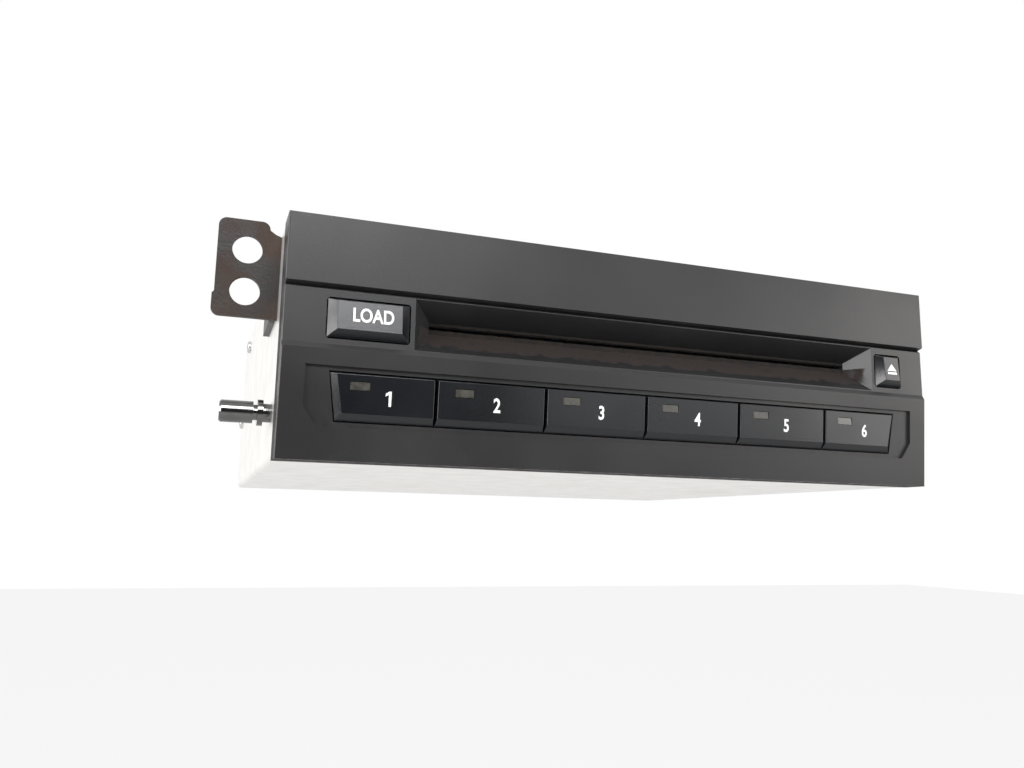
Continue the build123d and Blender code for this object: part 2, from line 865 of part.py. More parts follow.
contact_start = case_back_y + connector_out - connector_length + 3 * socket_wall
with BuildPart() as connector_pins:
    for row in (-1, 1):
        for column in range(contact_columns):
            x = power_x + (column - (contact_columns - 1) / 2) * contact_pitch
            z = board_top + connector_height / 2 + row * contact_pitch / 2
            block(
                (x - contact_size / 2, contact_start, z - contact_size / 2),
                (x + contact_size / 2, contact_start + contact_length, z + contact_size / 2),
            )
connector_pins.part.label = "connector_pins"
export_step(connector_pins.part, "parts/connector_pins.step")

ferrule_radius = 1.5
with BuildPart() as optical_connector:
    add(socket(optical_x, optical_width, optical_height, socket_wall))
    ferrules = [(optical_x + s * optical_width / 5, board_top + optical_height / 2) for s in (-1, 1)]
    rods(Plane.XZ.offset(-contact_start), ferrules, ferrule_radius, -contact_length / 2)
optical_connector.part.label = "optical_connector"
export_step(optical_connector.part, "parts/optical_connector.step")

flex_low = bezel_wall + fit_gap
flex_top = plate_low + 2 * sheet
with BuildPart() as front_flex:
    # flat cable: down the back of the switch board, along the case floor and up on the main board
    back = switch_board_back
    outline = [
        (back, flex_top + 4.0),
        (back, flex_low),
        (board_front_y - board_clear, flex_low),
        (board_front_y - board_clear, board_top),
        (board_front_y + post_inset, board_top),
        (board_front_y + post_inset, board_top + flex_thick),
        (board_front_y - board_clear - flex_thick, board_top + flex_thick),
        (board_front_y - board_clear - flex_thick, flex_low + flex_thick),
        (back + flex_thick, flex_low + flex_thick),
        (back + flex_thick, flex_top + 4.0),
    ]
    prism(side_plane(flex_x - flex_width / 2), outline, flex_width)
front_flex.part.label = "front_flex"
export_step(front_flex.part, "parts/front_flex.step")

shank_length = 2.9
with BuildPart() as case_screws:
    for places, lift in (
        (ear_screw_places, ear_thick),
        (side_screw_places + rear_screw_places, 0.0),
    ):
        for side in (-1, 1):
            seat = side * (half_width + lift)
            rods(side_plane(seat), places, screw_head_radius, side * screw_head_height)
            rods(side_plane(seat), places, screw_radius, -side * shank_length)
    rods(level(board_top), post_places, screw_head_radius, screw_head_height)
    rods(level(board_top), post_places, screw_radius, -shank_length)
case_screws.part.label = "case_screws"
export_step(case_screws.part, "parts/case_screws.step")

# ---------------------------------------------------------------- mechanism base
damper_inset = 5.0
damper_front = 16.0
damper_back = 12.0
damper_clear_of_deck = 34.0
damper_places = [
    (-base_half + damper_inset, base_front_y + damper_front),
    (base_half - damper_inset, base_front_y + damper_front),
    (-base_half + damper_inset, base_back_y - damper_clear_of_deck),
    (base_half - damper_inset, base_back_y - damper_back),
]
damper_rim = 3.8
base_window_radius = 24.0
journal_radius = 1.5
post_pin_radius = 1.8
lift_places = [(x, face_y + setback) for x, setback in screw_places]
motor_pulley = (motor_pulley_place[0], face_y + motor_pulley_place[1])
swing_distance = gear_module * (swing_teeth + swing_pinion_teeth) / 2 + run_gap
swing_pinion_place = (pivot_x + swing_distance, pivot_y)
lift_low = base_top + seat_gap

with BuildPart() as base_plate:
    with BuildSketch(level(base_z)):
        with Locations((0, (base_front_y + base_back_y) / 2)):
            RectangleRounded(2 * base_half, base_back_y - base_front_y, 3 * bend_radius)
        with Locations((disc_x, disc_y)):
            Circle(base_window_radius, mode=Mode.SUBTRACT)
        with Locations(*lift_places):
            Circle(journal_radius + run_gap, mode=Mode.SUBTRACT)
        with Locations(motor_pulley, swing_pinion_place):
            Circle(motor_shaft_radius + run_gap, mode=Mode.SUBTRACT)
        with Locations(*damper_places):
            Circle(damper_neck + fit_gap, mode=Mode.SUBTRACT)
        with Locations((pivot_x, pivot_y)):
            Circle(post_pin_radius + run_gap, mode=Mode.SUBTRACT)
    extrude(amount=base_thick)
base_plate.part.label = "base_plate"
export_step(base_plate.part, "parts/base_plate.step")

with BuildPart() as base_dampers:
    rods(level(sheet), damper_places, damper_radius, base_z - sheet)
    rods(level(base_z), damper_places, damper_neck, base_thick)
    rods(level(base_top), damper_places, damper_rim, base_thick)
base_dampers.part.label = "base_dampers"
export_step(base_dampers.part, "parts/base_dampers.step")


# ---------------------------------------------------------------- gears
def gear_profile(centre, teeth, turned):
    """Straight-flanked gear outline about a centre on the current sketch, a tooth at the angle turned."""
    pitch_radius = gear_module * teeth / 2
    root = pitch_radius - tooth_root * gear_module
    tip = pitch_radius + tooth_tip * gear_module
    half = pi * gear_module / 4 - backlash / 2
    root_half = half + (pitch_radius - root) * tan(radians(pressure_angle))
    tip_half = half - (tip - pitch_radius) * tan(radians(pressure_angle))
    with Locations(centre):
        Circle(root)
    for k in range(teeth):
        angle = radians(turned + 360 / teeth * k)
        along = (cos(angle), sin(angle))
        sunk = root * tooth_sink
        corners = [(sunk, -root_half), (sunk, root_half), (tip, tip_half), (tip, -tip_half)]
        tooth = [
            (centre[0] + r * along[0] - t * along[1], centre[1] + r * along[1] + t * along[0])
            for r, t in corners
        ]
        Polygon(*tooth, align=None)


def mesh_turn(driver_teeth, driver_turned, driven_teeth, direction):
    """Angle of a tooth of the driven gear that lies in this direction from the driver, in mesh with it."""
    return direction + 180 - (driver_turned - direction) * driver_teeth / driven_teeth - 180 / driven_teeth


def pitch_distance(teeth_a, teeth_b):
    """Distance between the axes of two gears in mesh."""
    return gear_module * (teeth_a + teeth_b) / 2 + run_gap


# ---------------------------------------------------------------- loading roller
idler_distance = pitch_distance(roller_teeth, idler_teeth)
idler_y = roller_y + idler_distance * cos(radians(idler_angle))
idler_z = roller_z + idler_distance * sin(radians(idler_angle))
pinion_y = idler_y + pitch_distance(idler_teeth, pinion_teeth) * cos(radians(pinion_angle))
pinion_z = idler_z + pitch_distance(idler_teeth, pinion_teeth) * sin(radians(pinion_angle))
idler_turned = mesh_turn(roller_teeth, 0.0, idler_teeth, idler_angle)
pinion_turned = mesh_turn(idler_teeth, idler_turned, pinion_teeth, pinion_angle)
gear_x = cheek_right + sheet + seat_gap
stud_radius = 1.2
press_gap = 0.02
shaft_end = 2.0
sleeve_gap = 4.0
sleeve_end = 10.0
cheek_round = 2.0

with BuildPart() as roller_bracket:
    front_y = face_y + bracket_front
    back_y = face_y + bracket_back
    block((cheek_left - sheet, front_y, base_top), (cheek_right + sheet, back_y, base_top + sheet))
    for x, rear in ((cheek_left - sheet, back_y), (cheek_right, pinion_y + motor_radius + cheek_round)):
        outline = [(front_y, base_top), (front_y, bracket_top), (back_y, bracket_top)]
        outline += [(back_y, idler_z + motor_radius), (rear, idler_z + motor_radius), (rear, base_top)]
        if rear == back_y:
            outline = [(front_y, base_top), (front_y, bracket_top), (back_y, bracket_top), (back_y, base_top)]
        prism(side_plane(x), outline, sheet)
    span = cheek_right - cheek_left + 2 * sheet
    rods(side_plane(cheek_left - sheet), [(roller_y, roller_z)], shaft_radius + run_gap, span, Mode.SUBTRACT)
    rods(side_plane(cheek_right), [(pinion_y, pinion_z)], motor_shaft_radius + run_gap, sheet, Mode.SUBTRACT)
    rods(side_plane(cheek_right + sheet), [(idler_y, idler_z)], stud_radius, seat_gap + gear_width + seat_gap)
roller_bracket.part.label = "roller_bracket"
export_step(roller_bracket.part, "parts/roller_bracket.step")

with BuildPart() as roller_shaft:
    start = cheek_left - sheet - shaft_end
    rods(side_plane(start), [(roller_y, roller_z)], shaft_radius, gear_x + gear_width + seat_gap - start)
roller_shaft.part.label = "roller_shaft"
export_step(roller_shaft.part, "parts/roller_shaft.step")

with BuildPart() as roller_sleeves:
    sleeve_length = throat_width / 2 - sleeve_end - sleeve_gap
    for x in (slot_x - sleeve_gap - sleeve_length, slot_x + sleeve_gap):
        rods(side_plane(x), [(roller_y, roller_z)], roller_radius, sleeve_length)
        rods(side_plane(x), [(roller_y, roller_z)], shaft_radius + press_gap, sleeve_length, Mode.SUBTRACT)
roller_sleeves.part.label = "roller_sleeves"
export_step(roller_sleeves.part, "parts/roller_sleeves.step")

with BuildPart() as roller_gear:
    with BuildSketch(side_plane(gear_x)) as profile:
        gear_profile((roller_y, roller_z), roller_teeth, 0.0)
        with Locations((roller_y, roller_z)):
            Circle(shaft_radius + press_gap, mode=Mode.SUBTRACT)
    extrude(amount=gear_width)
roller_gear.part.label = "roller_gear"
export_step(roller_gear.part, "parts/roller_gear.step")

with BuildPart() as idler_gear:
    with BuildSketch(side_plane(gear_x)):
        gear_profile((idler_y, idler_z), idler_teeth, idler_turned)
        with Locations((idler_y, idler_z)):
            Circle(stud_radius + run_gap, mode=Mode.SUBTRACT)
    extrude(amount=gear_width)
idler_gear.part.label = "idler_gear"
export_step(idler_gear.part, "parts/idler_gear.step")

with BuildPart() as load_pinion:
    with BuildSketch(side_plane(gear_x)):
        gear_profile((pinion_y, pinion_z), pinion_teeth, pinion_turned)
    extrude(amount=gear_width)
    shaft_start = cheek_right - motor_length / 2
    rods(side_plane(shaft_start), [(pinion_y, pinion_z)], motor_shaft_radius, gear_x - shaft_start)
load_pinion.part.label = "load_pinion"
export_step(load_pinion.part, "parts/load_pinion.step")

motor_top = base_z
with BuildPart() as drive_motors:
    bearing = motor_shaft_radius + run_gap
    rods(side_plane(cheek_right), [(pinion_y, pinion_z)], motor_radius, -motor_length)
    shaft_room = motor_length / 2 + seat_gap
    rods(side_plane(cheek_right), [(pinion_y, pinion_z)], bearing, -shaft_room, Mode.SUBTRACT)
    upright = [motor_pulley, swing_pinion_place]
    rods(level(motor_top), upright, motor_radius, -motor_length)
    rods(level(motor_top), upright, bearing, -shaft_room, Mode.SUBTRACT)
drive_motors.part.label = "drive_motors"
export_step(drive_motors.part, "parts/drive_motors.step")

guide_bottom = slot_z + disc_thickness / 2 + seat_gap
guide_lead = 1.2
with BuildPart() as disc_guide:
    start_y = case_front_y + sheet
    end_y = face_y + bracket_back - sheet
    outline = [
        (start_y, guide_bottom + guide_lead),
        (start_y, guide_bottom + guide_height),
        (end_y, guide_bottom + guide_height),
        (end_y, guide_bottom + guide_lead),
        (end_y - guide_lead, guide_bottom),
        (start_y + guide_lead, guide_bottom),
    ]
    prism(side_plane(slot_x - throat_width / 2), outline, throat_width)
disc_guide.part.label = "disc_guide"
export_step(disc_guide.part, "parts/disc_guide.step")

# ---------------------------------------------------------------- lift screws and belt
belt_low = lift_low + (pulley_height - belt_width) / 2
flange_height = (pulley_height - belt_width) / 2 - run_gap
thread_start = tray_low - thread_pitch
thread_count = int((lift_top - thread_start) / thread_pitch)


def pulley_profile():
    """Half section of a belt pulley, as radius and height."""
    wide = pulley_radius + pulley_flange
    return [
        (wide, lift_low),
        (wide, lift_low + flange_height),
        (pulley_radius, lift_low + flange_height),
        (pulley_radius, lift_low + pulley_height - flange_height),
        (wide, lift_low + pulley_height - flange_height),
        (wide, lift_low + pulley_height),
    ]


for name, (x, y) in zip(("a", "b", "c"), lift_places):
    outline = [(0, base_z), (journal_radius, base_z), (journal_radius, lift_low)]
    outline += pulley_profile()
    outline.append((lift_radius, lift_low + pulley_height))
    for k in range(thread_count):
        z = thread_start + k * thread_pitch
        outline.append((lift_radius, z + thread_pitch / 4))
        outline.append((lift_radius - thread_depth, z + thread_pitch / 2))
        outline.append((lift_radius, z + 3 * thread_pitch / 4))
    outline += [(lift_radius, lift_top), (0, lift_top)]
    with BuildPart() as lift_screw:
        with BuildSketch(Plane(origin=(x, y, 0), x_dir=(1, 0, 0), z_dir=(0, -1, 0))):
            Polygon(*outline, align=None)
        revolve(axis=Axis((x, y, 0), (0, 0, 1)))
    lift_screw.part.label = f"lift_screw_{name}"
    export_step(lift_screw.part, f"parts/lift_screw_{name}.step")

with BuildPart() as motor_pulley_part:
    x, y = motor_pulley
    outline = [(0, base_z - motor_length / 2), (motor_shaft_radius, base_z - motor_length / 2)]
    outline += [(motor_shaft_radius, lift_low)] + pulley_profile() + [(0, lift_low + pulley_height)]
    with BuildSketch(Plane(origin=(x, y, 0), x_dir=(1, 0, 0), z_dir=(0, -1, 0))):
        Polygon(*outline, align=None)
    revolve(axis=Axis((x, y, 0), (0, 0, 1)))
motor_pulley_part.part.label = "motor_pulley"
export_step(motor_pulley_part.part, "parts/motor_pulley.step")

belt_path = [lift_places[0], motor_pulley, lift_places[1], lift_places[2]]
with BuildPart() as lift_belt:
    with BuildSketch(level(belt_low)):
        Polygon(*belt_path, align=None)
        offset(amount=pulley_radius + fit_gap + belt_thick)
    extrude(amount=belt_width)
    with BuildSketch(level(belt_low)):
        Polygon(*belt_path, align=None)
        offset(amount=pulley_radius + fit_gap)
    extrude(amount=belt_width, mode=Mode.SUBTRACT)
lift_belt.part.label = "lift_belt"
export_step(lift_belt.part, "parts/lift_belt.step")

# ---------------------------------------------------------------- disc trays
far = 2 * tray_outer


def from_disc(angle, radius):
    """Point at this angle and radius from the middle of a stored disc."""
    return (disc_x + radius * cos(radians(angle)), disc_y + radius * sin(radians(angle)))


opening = [
    (disc_x, disc_y),
    from_disc(180 - tray_half_opening, far),
    from_disc(180, far),
    from_disc(180 + tray_half_opening, far),
]


def tray_arm(place):
    """Outline of the arm that joins a tray's ring to its lug on a lift screw."""
    angle = degrees(atan2(place[1] - disc_y, place[0] - disc_x))
    start = from_disc(angle, (tray_inner + tray_outer) / 2)
    across = (-sin(radians(angle)) * lug_radius, cos(radians(angle)) * lug_radius)
    return [
        (start[0] - across[0], start[1] - across[1]),
        (place[0] - across[0], place[1] - across[1]),
        (place[0] + across[0], place[1] + across[1]),
        (start[0] + across[0], start[1] + across[1]),
    ]


for i in range(tray_count):
    upper = i >= tray_count // 2
    tray_z = tray_low + i * tray_pitch + (tray_split if upper else 0)
    with BuildPart() as disc_tray:
        with BuildSketch(level(tray_z)):
            with Locations((disc_x, disc_y)):
                Circle(tray_outer)
            with Locations(*lift_places):
                Circle(lug_radius)
            for place in lift_places:
                Polygon(*tray_arm(place), align=None)
            with Locations((disc_x, disc_y)):
                Circle(tray_inner, mode=Mode.SUBTRACT)
            with Locations(*lift_places):
                Circle(lift_radius + run_gap, mode=Mode.SUBTRACT)
            Polygon(*opening, align=None, mode=Mode.SUBTRACT)
        extrude(amount=tray_thick)
        with BuildSketch(level(tray_z + tray_thick)):
            with Locations((disc_x, disc_y)):
                Circle(tray_outer)
                Circle(tray_outer - tray_rim_width, mode=Mode.SUBTRACT)
            Polygon(*opening, align=None, mode=Mode.SUBTRACT)
        extrude(amount=tray_rim)
    name = f"disc_tray_{i + 1}"
    disc_tray.part.label = name
    export_step(disc_tray.part, f"parts/{name}.step")

# ---------------------------------------------------------------- playback deck
reach_to_disc = hypot(disc_x - pivot_x, pivot_y - disc_y)
spindle_y = pivot_y - reach_to_disc
spindle = (pivot_x, spindle_y)
gear_low = base_top + seat_gap
boss_top = deck_top + 2.0
rear_overhang = 3.5
nose = 12.0
end_block = 3.0
block_above_rod = 1.6
block_top = rod_z + block_above_rod
inner_block_setback = 11.5
inner_block_y = spindle_y + inner_block_setback
outer_block_y = spindle_y + sled_start + sled_travel + sled_length / 2 + board_clear
spindle_motor_radius = 7.0
spindle_motor_height = 3.6
seat_z = slot_z - disc_thickness / 2
hub_radius = 7.4
hub_height = 1.3
feed_motor_radius = 2.8
feed_motor_length = 9.0
clamp_axle_radius = 1.0
clamp_thick = 1.2
puck_radius = 8.0
clamp_y = face_y + clamp_hinge_setback
hinge_z = clamp_z + clamp_thick / 2

with BuildPart() as deck_frame:
    left = pivot_x - deck_half
    right = pivot_x + deck_half
    block((left, spindle_y - nose, deck_z), (right, pivot_y + rear_overhang, deck_top))
    block(
        (pivot_x - rod_offset + rod_radius, inner_block_y + end_block, deck_z),
        (pivot_x + rod_offset - rod_radius, outer_block_y, deck_top),
        Mode.SUBTRACT,
    )
    for y in (inner_block_y, outer_block_y):
        block((left, y, deck_top), (right, y + end_block, block_top))
    # hinge cheeks of the clamp arm
    for side in (-1, 1):
        near = pivot_x + side * (clamp_half + seat_gap)
        away = near + side * 2 * clamp_thick
        block(
            (min(near, away), clamp_y - 2 * clamp_axle_radius, deck_top),
            (max(near, away), clamp_y + 2 * clamp_axle_radius, hinge_z + 2 * clamp_axle_radius),
        )
    # boss and toothed wheel about the pivot
    rods(level(gear_low), [(pivot_x, pivot_y)], boss_radius, boss_top - gear_low)
    with BuildSketch(level(gear_low)):
        gear_profile((pivot_x, pivot_y), swing_teeth, 0.0)
    extrude(amount=gear_width)
    rods(level(gear_low), [(pivot_x, pivot_y)], pivot_radius + run_gap, boss_top - gear_low, Mode.SUBTRACT)
    rods(level(deck_z), [spindle], motor_shaft_radius + 3 * run_gap, deck_thick, Mode.SUBTRACT)
    rod_length = outer_block_y - inner_block_y + end_block
    rod_places = [(pivot_x - rod_offset, rod_z), (pivot_x + rod_offset, rod_z)]
    feed_place = (pivot_x + feed_offset, rod_z)
    rods(Plane.XZ.offset(-inner_block_y), rod_places, rod_radius + press_gap, -rod_length, Mode.SUBTRACT)
    rods(Plane.XZ.offset(-inner_block_y), [feed_place], feed_radius + run_gap, -rod_length, Mode.SUBTRACT)
    rods(side_plane(left), [(clamp_y, hinge_z)], clamp_axle_radius + run_gap, 2 * deck_half, Mode.SUBTRACT)
deck_frame.part.label = "deck_frame"
export_step(deck_frame.part, "parts/deck_frame.step")

with BuildPart() as guide_rods:
    rods(Plane.XZ.offset(-inner_block_y), rod_places, rod_radius, -rod_length)
guide_rods.part.label = "guide_rods"
export_step(guide_rods.part, "parts/guide_rods.step")

with BuildPart() as deck_motors:
    rods(level(deck_z), [spindle], spindle_motor_radius, -spindle_motor_height)
    rods(level(deck_z), [spindle], motor_shaft_radius + run_gap, -spindle_motor_height / 2, Mode.SUBTRACT)
    motor_y = outer_block_y + end_block
    rods(Plane.XZ.offset(-motor_y), [feed_place], feed_motor_radius, -feed_motor_length)
    feed_bearing = feed_radius + run_gap
    rods(Plane.XZ.offset(-motor_y), [feed_place], feed_bearing, -feed_motor_length / 3, Mode.SUBTRACT)
deck_motors.part.label = "deck_motors"
export_step(deck_motors.part, "parts/deck_motors.step")

with BuildPart() as turntable:
    outline = [
        (0, deck_z - spindle_motor_height / 3),
        (motor_shaft_radius, deck_z - spindle_motor_height / 3),
        (motor_shaft_radius, deck_top + seat_gap),
        (turntable_radius / 3, deck_top + seat_gap),
        (turntable_radius / 3, seat_z - disc_thickness),
        (turntable_radius, seat_z - disc_thickness),
        (turntable_radius, seat_z),
        (hub_radius, seat_z),
        (hub_radius - hub_height / 2, seat_z + hub_height),
        (0, seat_z + hub_height),
    ]
    with BuildSketch(Plane(origin=(*spindle, 0), x_dir=(1, 0, 0), z_dir=(0, -1, 0))):
        Polygon(*outline, align=None)
    revolve(axis=Axis((*spindle, 0), (0, 0, 1)))
turntable.part.label = "turntable"
export_step(turntable.part, "parts/turntable.step")

sled_low = deck_top + seat_gap
sled_above_rod = 1.5
sled_top = rod_z + sled_above_rod
lens_radius = 2.4
lens_height = 0.4
with BuildPart() as pickup_sled:
    front_y = spindle_y + sled_start - sled_length / 2
    back_y = front_y + sled_length
    block(
        (pivot_x - rod_offset - 2 * rod_radius, front_y, sled_low),
        (pivot_x + feed_offset + 2 * feed_radius, back_y, sled_top),
    )
    rods(Plane.XZ.offset(-front_y), rod_places, rod_radius + run_gap, -sled_length, Mode.SUBTRACT)
    rods(Plane.XZ.offset(-front_y), [feed_place], feed_radius + run_gap, -sled_length, Mode.SUBTRACT)
    rods(level(sled_top), [(pivot_x, (front_y + back_y) / 2)], lens_radius, lens_height)
pickup_sled.part.label = "pickup_sled"
export_step(pickup_sled.part, "parts/pickup_sled.step")

with BuildPart() as feed_screw:
    rods(Plane.XZ.offset(-inner_block_y), [feed_place], feed_radius, -rod_length - feed_motor_length / 4)
feed_screw.part.label = "feed_screw"
export_step(feed_screw.part, "parts/feed_screw.step")

with BuildPart() as clamp_arm:
    block(
        (pivot_x - clamp_half, spindle_y, clamp_z),
        (pivot_x + clamp_half, clamp_y + 2 * clamp_axle_radius, clamp_z + clamp_thick),
    )
    rods(level(clamp_z - seat_gap), [spindle], puck_radius, clamp_thick + 2 * seat_gap)
    axle_half = clamp_half + seat_gap + 2 * clamp_thick
    rods(side_plane(pivot_x - axle_half), [(clamp_y, hinge_z)], clamp_axle_radius, 2 * axle_half)
clamp_arm.part.label = "clamp_arm"
export_step(clamp_arm.part, "parts/clamp_arm.step")

collar_radius = 3.8
with BuildPart() as pivot_post:
    rods(level(base_z), [(pivot_x, pivot_y)], post_pin_radius, base_thick)
    rods(level(base_top), [(pivot_x, pivot_y)], pivot_radius, boss_top - base_top + seat_gap)
    rods(level(boss_top + seat_gap), [(pivot_x, pivot_y)], collar_radius, base_thick)
pivot_post.part.label = "pivot_post"
export_step(pivot_post.part, "parts/pivot_post.step")

swing_shaft_low = base_z - motor_length / 2
with BuildPart() as swing_pinion:
    with BuildSketch(level(gear_low)):
        turned = mesh_turn(swing_teeth, 0.0, swing_pinion_teeth, 0.0)
        gear_profile(swing_pinion_place, swing_pinion_teeth, turned)
    extrude(amount=gear_width)
    rods(level(swing_shaft_low), [swing_pinion_place], motor_shaft_radius, gear_low - swing_shaft_low)
swing_pinion.part.label = "swing_pinion"
export_step(swing_pinion.part, "parts/swing_pinion.step")
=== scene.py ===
"""Looks of an in-dash car CD changer, dressed around its packed construction.

Every length here is written in millimetres and turned into metres by ``mm``. The frame is the
construction's own: +X to the right of the front, +Y into the dash, +Z up.
"""

from __future__ import annotations

import logging
import math
import random
from dataclasses import dataclass, field
from enum import Enum

import bmesh
import bpy
from mathutils import Matrix, Vector


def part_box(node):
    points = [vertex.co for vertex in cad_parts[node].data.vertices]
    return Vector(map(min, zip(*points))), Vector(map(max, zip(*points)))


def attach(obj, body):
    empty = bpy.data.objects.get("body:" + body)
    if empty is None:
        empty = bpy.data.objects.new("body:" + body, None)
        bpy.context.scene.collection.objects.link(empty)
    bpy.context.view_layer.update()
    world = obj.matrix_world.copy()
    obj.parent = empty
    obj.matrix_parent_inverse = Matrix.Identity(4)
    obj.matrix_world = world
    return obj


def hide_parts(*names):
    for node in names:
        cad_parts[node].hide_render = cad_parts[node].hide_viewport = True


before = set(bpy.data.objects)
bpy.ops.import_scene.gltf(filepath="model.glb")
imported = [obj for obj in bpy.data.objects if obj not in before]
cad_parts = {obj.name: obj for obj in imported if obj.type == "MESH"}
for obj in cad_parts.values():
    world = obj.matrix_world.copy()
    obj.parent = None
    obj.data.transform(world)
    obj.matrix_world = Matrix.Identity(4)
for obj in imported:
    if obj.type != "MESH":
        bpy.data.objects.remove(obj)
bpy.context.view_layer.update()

log = logging.getLogger("changer")

Colour = tuple[float, float, float]
Point = tuple[float, float, float]


def mm(*lengths: float) -> Vector | float:
    """Turn millimetres into metres.

    Args:
        lengths: one length, or the three of a place.

    Returns:
        A number, or a vector of three.
    """
    if len(lengths) == 1:
        return lengths[0] / 1000
    return Vector(length / 1000 for length in lengths)


def toned(colour: Colour, share: float) -> Colour:
    """Make a colour darker or lighter by a share."""
    return tuple(c * share for c in colour)


# ---------------------------------------------------------------- shader node groups
class Graph:
    """A node tree that nodes are added to and linked in."""

    def __init__(self, tree: bpy.types.NodeTree) -> None:
        """Keep the tree that is being drawn."""
        self.tree = tree

    def node(self, kind: str, **settings: object) -> bpy.types.Node:
        """Add a node.

        Args:
            kind: the node's type, such as ``ShaderNodeMath``.
            settings: properties of the node, such as its operation.

        Returns:
            The new node.
        """
        made = self.tree.nodes.new(kind)
        for name, value in settings.items():
            setattr(made, name, value)
        return made

    def feed(self, socket: bpy.types.NodeSocket, value: object) -> None:
        """Link a socket to another one, or set its constant.

        Args:
            socket: the input that is fed.
            value: a socket to link it to, or its constant.
        """
        if isinstance(value, bpy.types.NodeSocket):
            self.tree.links.new(value, socket)
        else:
            socket.default_value = value

    def math(self, operation: str, *values: object, clamp: bool = False) -> bpy.types.NodeSocket:
        """Add a Math node.

        Args:
            operation: what it works out, such as ``MULTIPLY``.
            values: its inputs, each a socket or a constant.
            clamp: keep the result within 0..1.

        Returns:
            Its result.
        """
        made = self.node("ShaderNodeMath", operation=operation, use_clamp=clamp)
        for socket, value in zip(made.inputs, values):
            self.feed(socket, value)
        return made.outputs[0]

    def span(self, value: object, low: object, high: object) -> bpy.types.NodeSocket:
        """Map a value smoothly from low..high to 0..1.

        Args:
            value: the socket or number that is mapped.
            low: what becomes 0.
            high: what becomes 1.

        Returns:
            The mapped value.
        """
        made = self.node("ShaderNodeMapRange", interpolation_type="SMOOTHSTEP")
        for socket, number in zip(made.inputs, (value, low, high, 0.0, 1.0)):
            self.feed(socket, number)
        return made.outputs[0]

    def noise(self, vector: object, scale: object, detail: float = 3.0) -> bpy.types.NodeSocket:
        """Add a Noise Texture.

        Args:
            vector: the place that it reads.
            scale: how fine it is.
            detail: how many octaves it has.

        Returns:
            Its value.
        """
        made = self.node("ShaderNodeTexNoise")
        self.feed(made.inputs["Vector"], vector)
        self.feed(made.inputs["Scale"], scale)
        made.inputs["Detail"].default_value = detail
        return made.outputs[0]

    def mix(self, mask: object, first: object, second: object) -> bpy.types.NodeSocket:
        """Blend two colours.

        Args:
            mask: 0 for the first colour, 1 for the second.
            first: a socket or a colour.
            second: a socket or a colour.

        Returns:
            The blended colour.
        """
        made = self.node("ShaderNodeMix", data_type="RGBA")
        self.feed(made.inputs[0], mask)
        for socket, colour in zip((made.inputs[6], made.inputs[7]), (first, second)):
            self.feed(socket, colour if isinstance(colour, bpy.types.NodeSocket) else (*colour, 1.0))
        return made.outputs[2]


def new_group(name: str, inputs: dict[str, float], outputs: tuple[str, ...]) -> tuple[Graph, dict, dict]:
    """Start a shader node group whose first input is a Vector.

    Args:
        name: the group's name.
        inputs: the other inputs, with their defaults.
        outputs: names of the float outputs.

    Returns:
        The graph, the sockets that come in and the sockets that go out.
    """
    tree = bpy.data.node_groups.new(name, "ShaderNodeTree")
    tree.interface.new_socket("Vector", in_out="INPUT", socket_type="NodeSocketVector")
    for key, value in inputs.items():
        tree.interface.new_socket(key, in_out="INPUT", socket_type="NodeSocketFloat").default_value = value
    for key in outputs:
        tree.interface.new_socket(key, in_out="OUTPUT", socket_type="NodeSocketFloat")
    graph = Graph(tree)
    into = graph.node("NodeGroupInput")
    out = graph.node("NodeGroupOutput")
    return graph, {s.name: s for s in into.outputs}, {s.name: s for s in out.inputs}


def grain_group() -> bpy.types.NodeTree:
    """Fine eroded grain of a moulding tool: a height from cells and noise.

    Returns:
        The group's tree, with the output Height.
    """
    graph, into, out = new_group("mould_grain", {"Scale": 2500.0}, ("Height",))
    cells = graph.node("ShaderNodeTexVoronoi", feature="SMOOTH_F1")
    graph.feed(cells.inputs["Vector"], into["Vector"])
    graph.feed(cells.inputs["Scale"], into["Scale"])
    fine = graph.noise(into["Vector"], graph.math("MULTIPLY", into["Scale"], 0.45), 4.0)
    graph.feed(out["Height"], graph.math("ADD", cells.outputs["Distance"], fine))
    return graph.tree


def smudge_group() -> bpy.types.NodeTree:
    """Broad cloudy mask, as handling leaves on a surface.

    Returns:
        The group's tree, with the output Mask.
    """
    graph, into, out = new_group("smudge", {"Scale": 30.0, "Low": 0.4, "High": 0.7}, ("Mask",))
    cloud = graph.noise(into["Vector"], into["Scale"], 6.0)
    graph.feed(out["Mask"], graph.span(cloud, into["Low"], into["High"]))
    return graph.tree


def dust_group() -> bpy.types.NodeTree:
    """Mask of settled dust: more on faces that look up, broken into specks.

    Returns:
        The group's tree, with the output Mask.
    """
    graph, into, out = new_group("dust", {"Scale": 900.0, "Amount": 0.3}, ("Mask",))
    specks = graph.span(graph.noise(into["Vector"], into["Scale"], 2.0), 0.52, 0.74)
    coarse = graph.math("DIVIDE", into["Scale"], 24.0)
    film = graph.span(graph.noise(into["Vector"], coarse, 4.0), 0.35, 0.8)
    normal = graph.node("ShaderNodeNewGeometry")
    parts = graph.node("ShaderNodeSeparateXYZ")
    graph.feed(parts.inputs[0], normal.outputs["Normal"])
    upward = graph.math("MULTIPLY_ADD", graph.math("MAXIMUM", parts.outputs["Z"], 0.0), 0.7, 0.3)
    both = graph.math("MULTIPLY_ADD", specks, 0.55, graph.math("MULTIPLY", film, 0.45))
    amount = graph.math("MULTIPLY", graph.math("MULTIPLY", both, upward), into["Amount"], clamp=True)
    graph.feed(out["Mask"], amount)
    return graph.tree


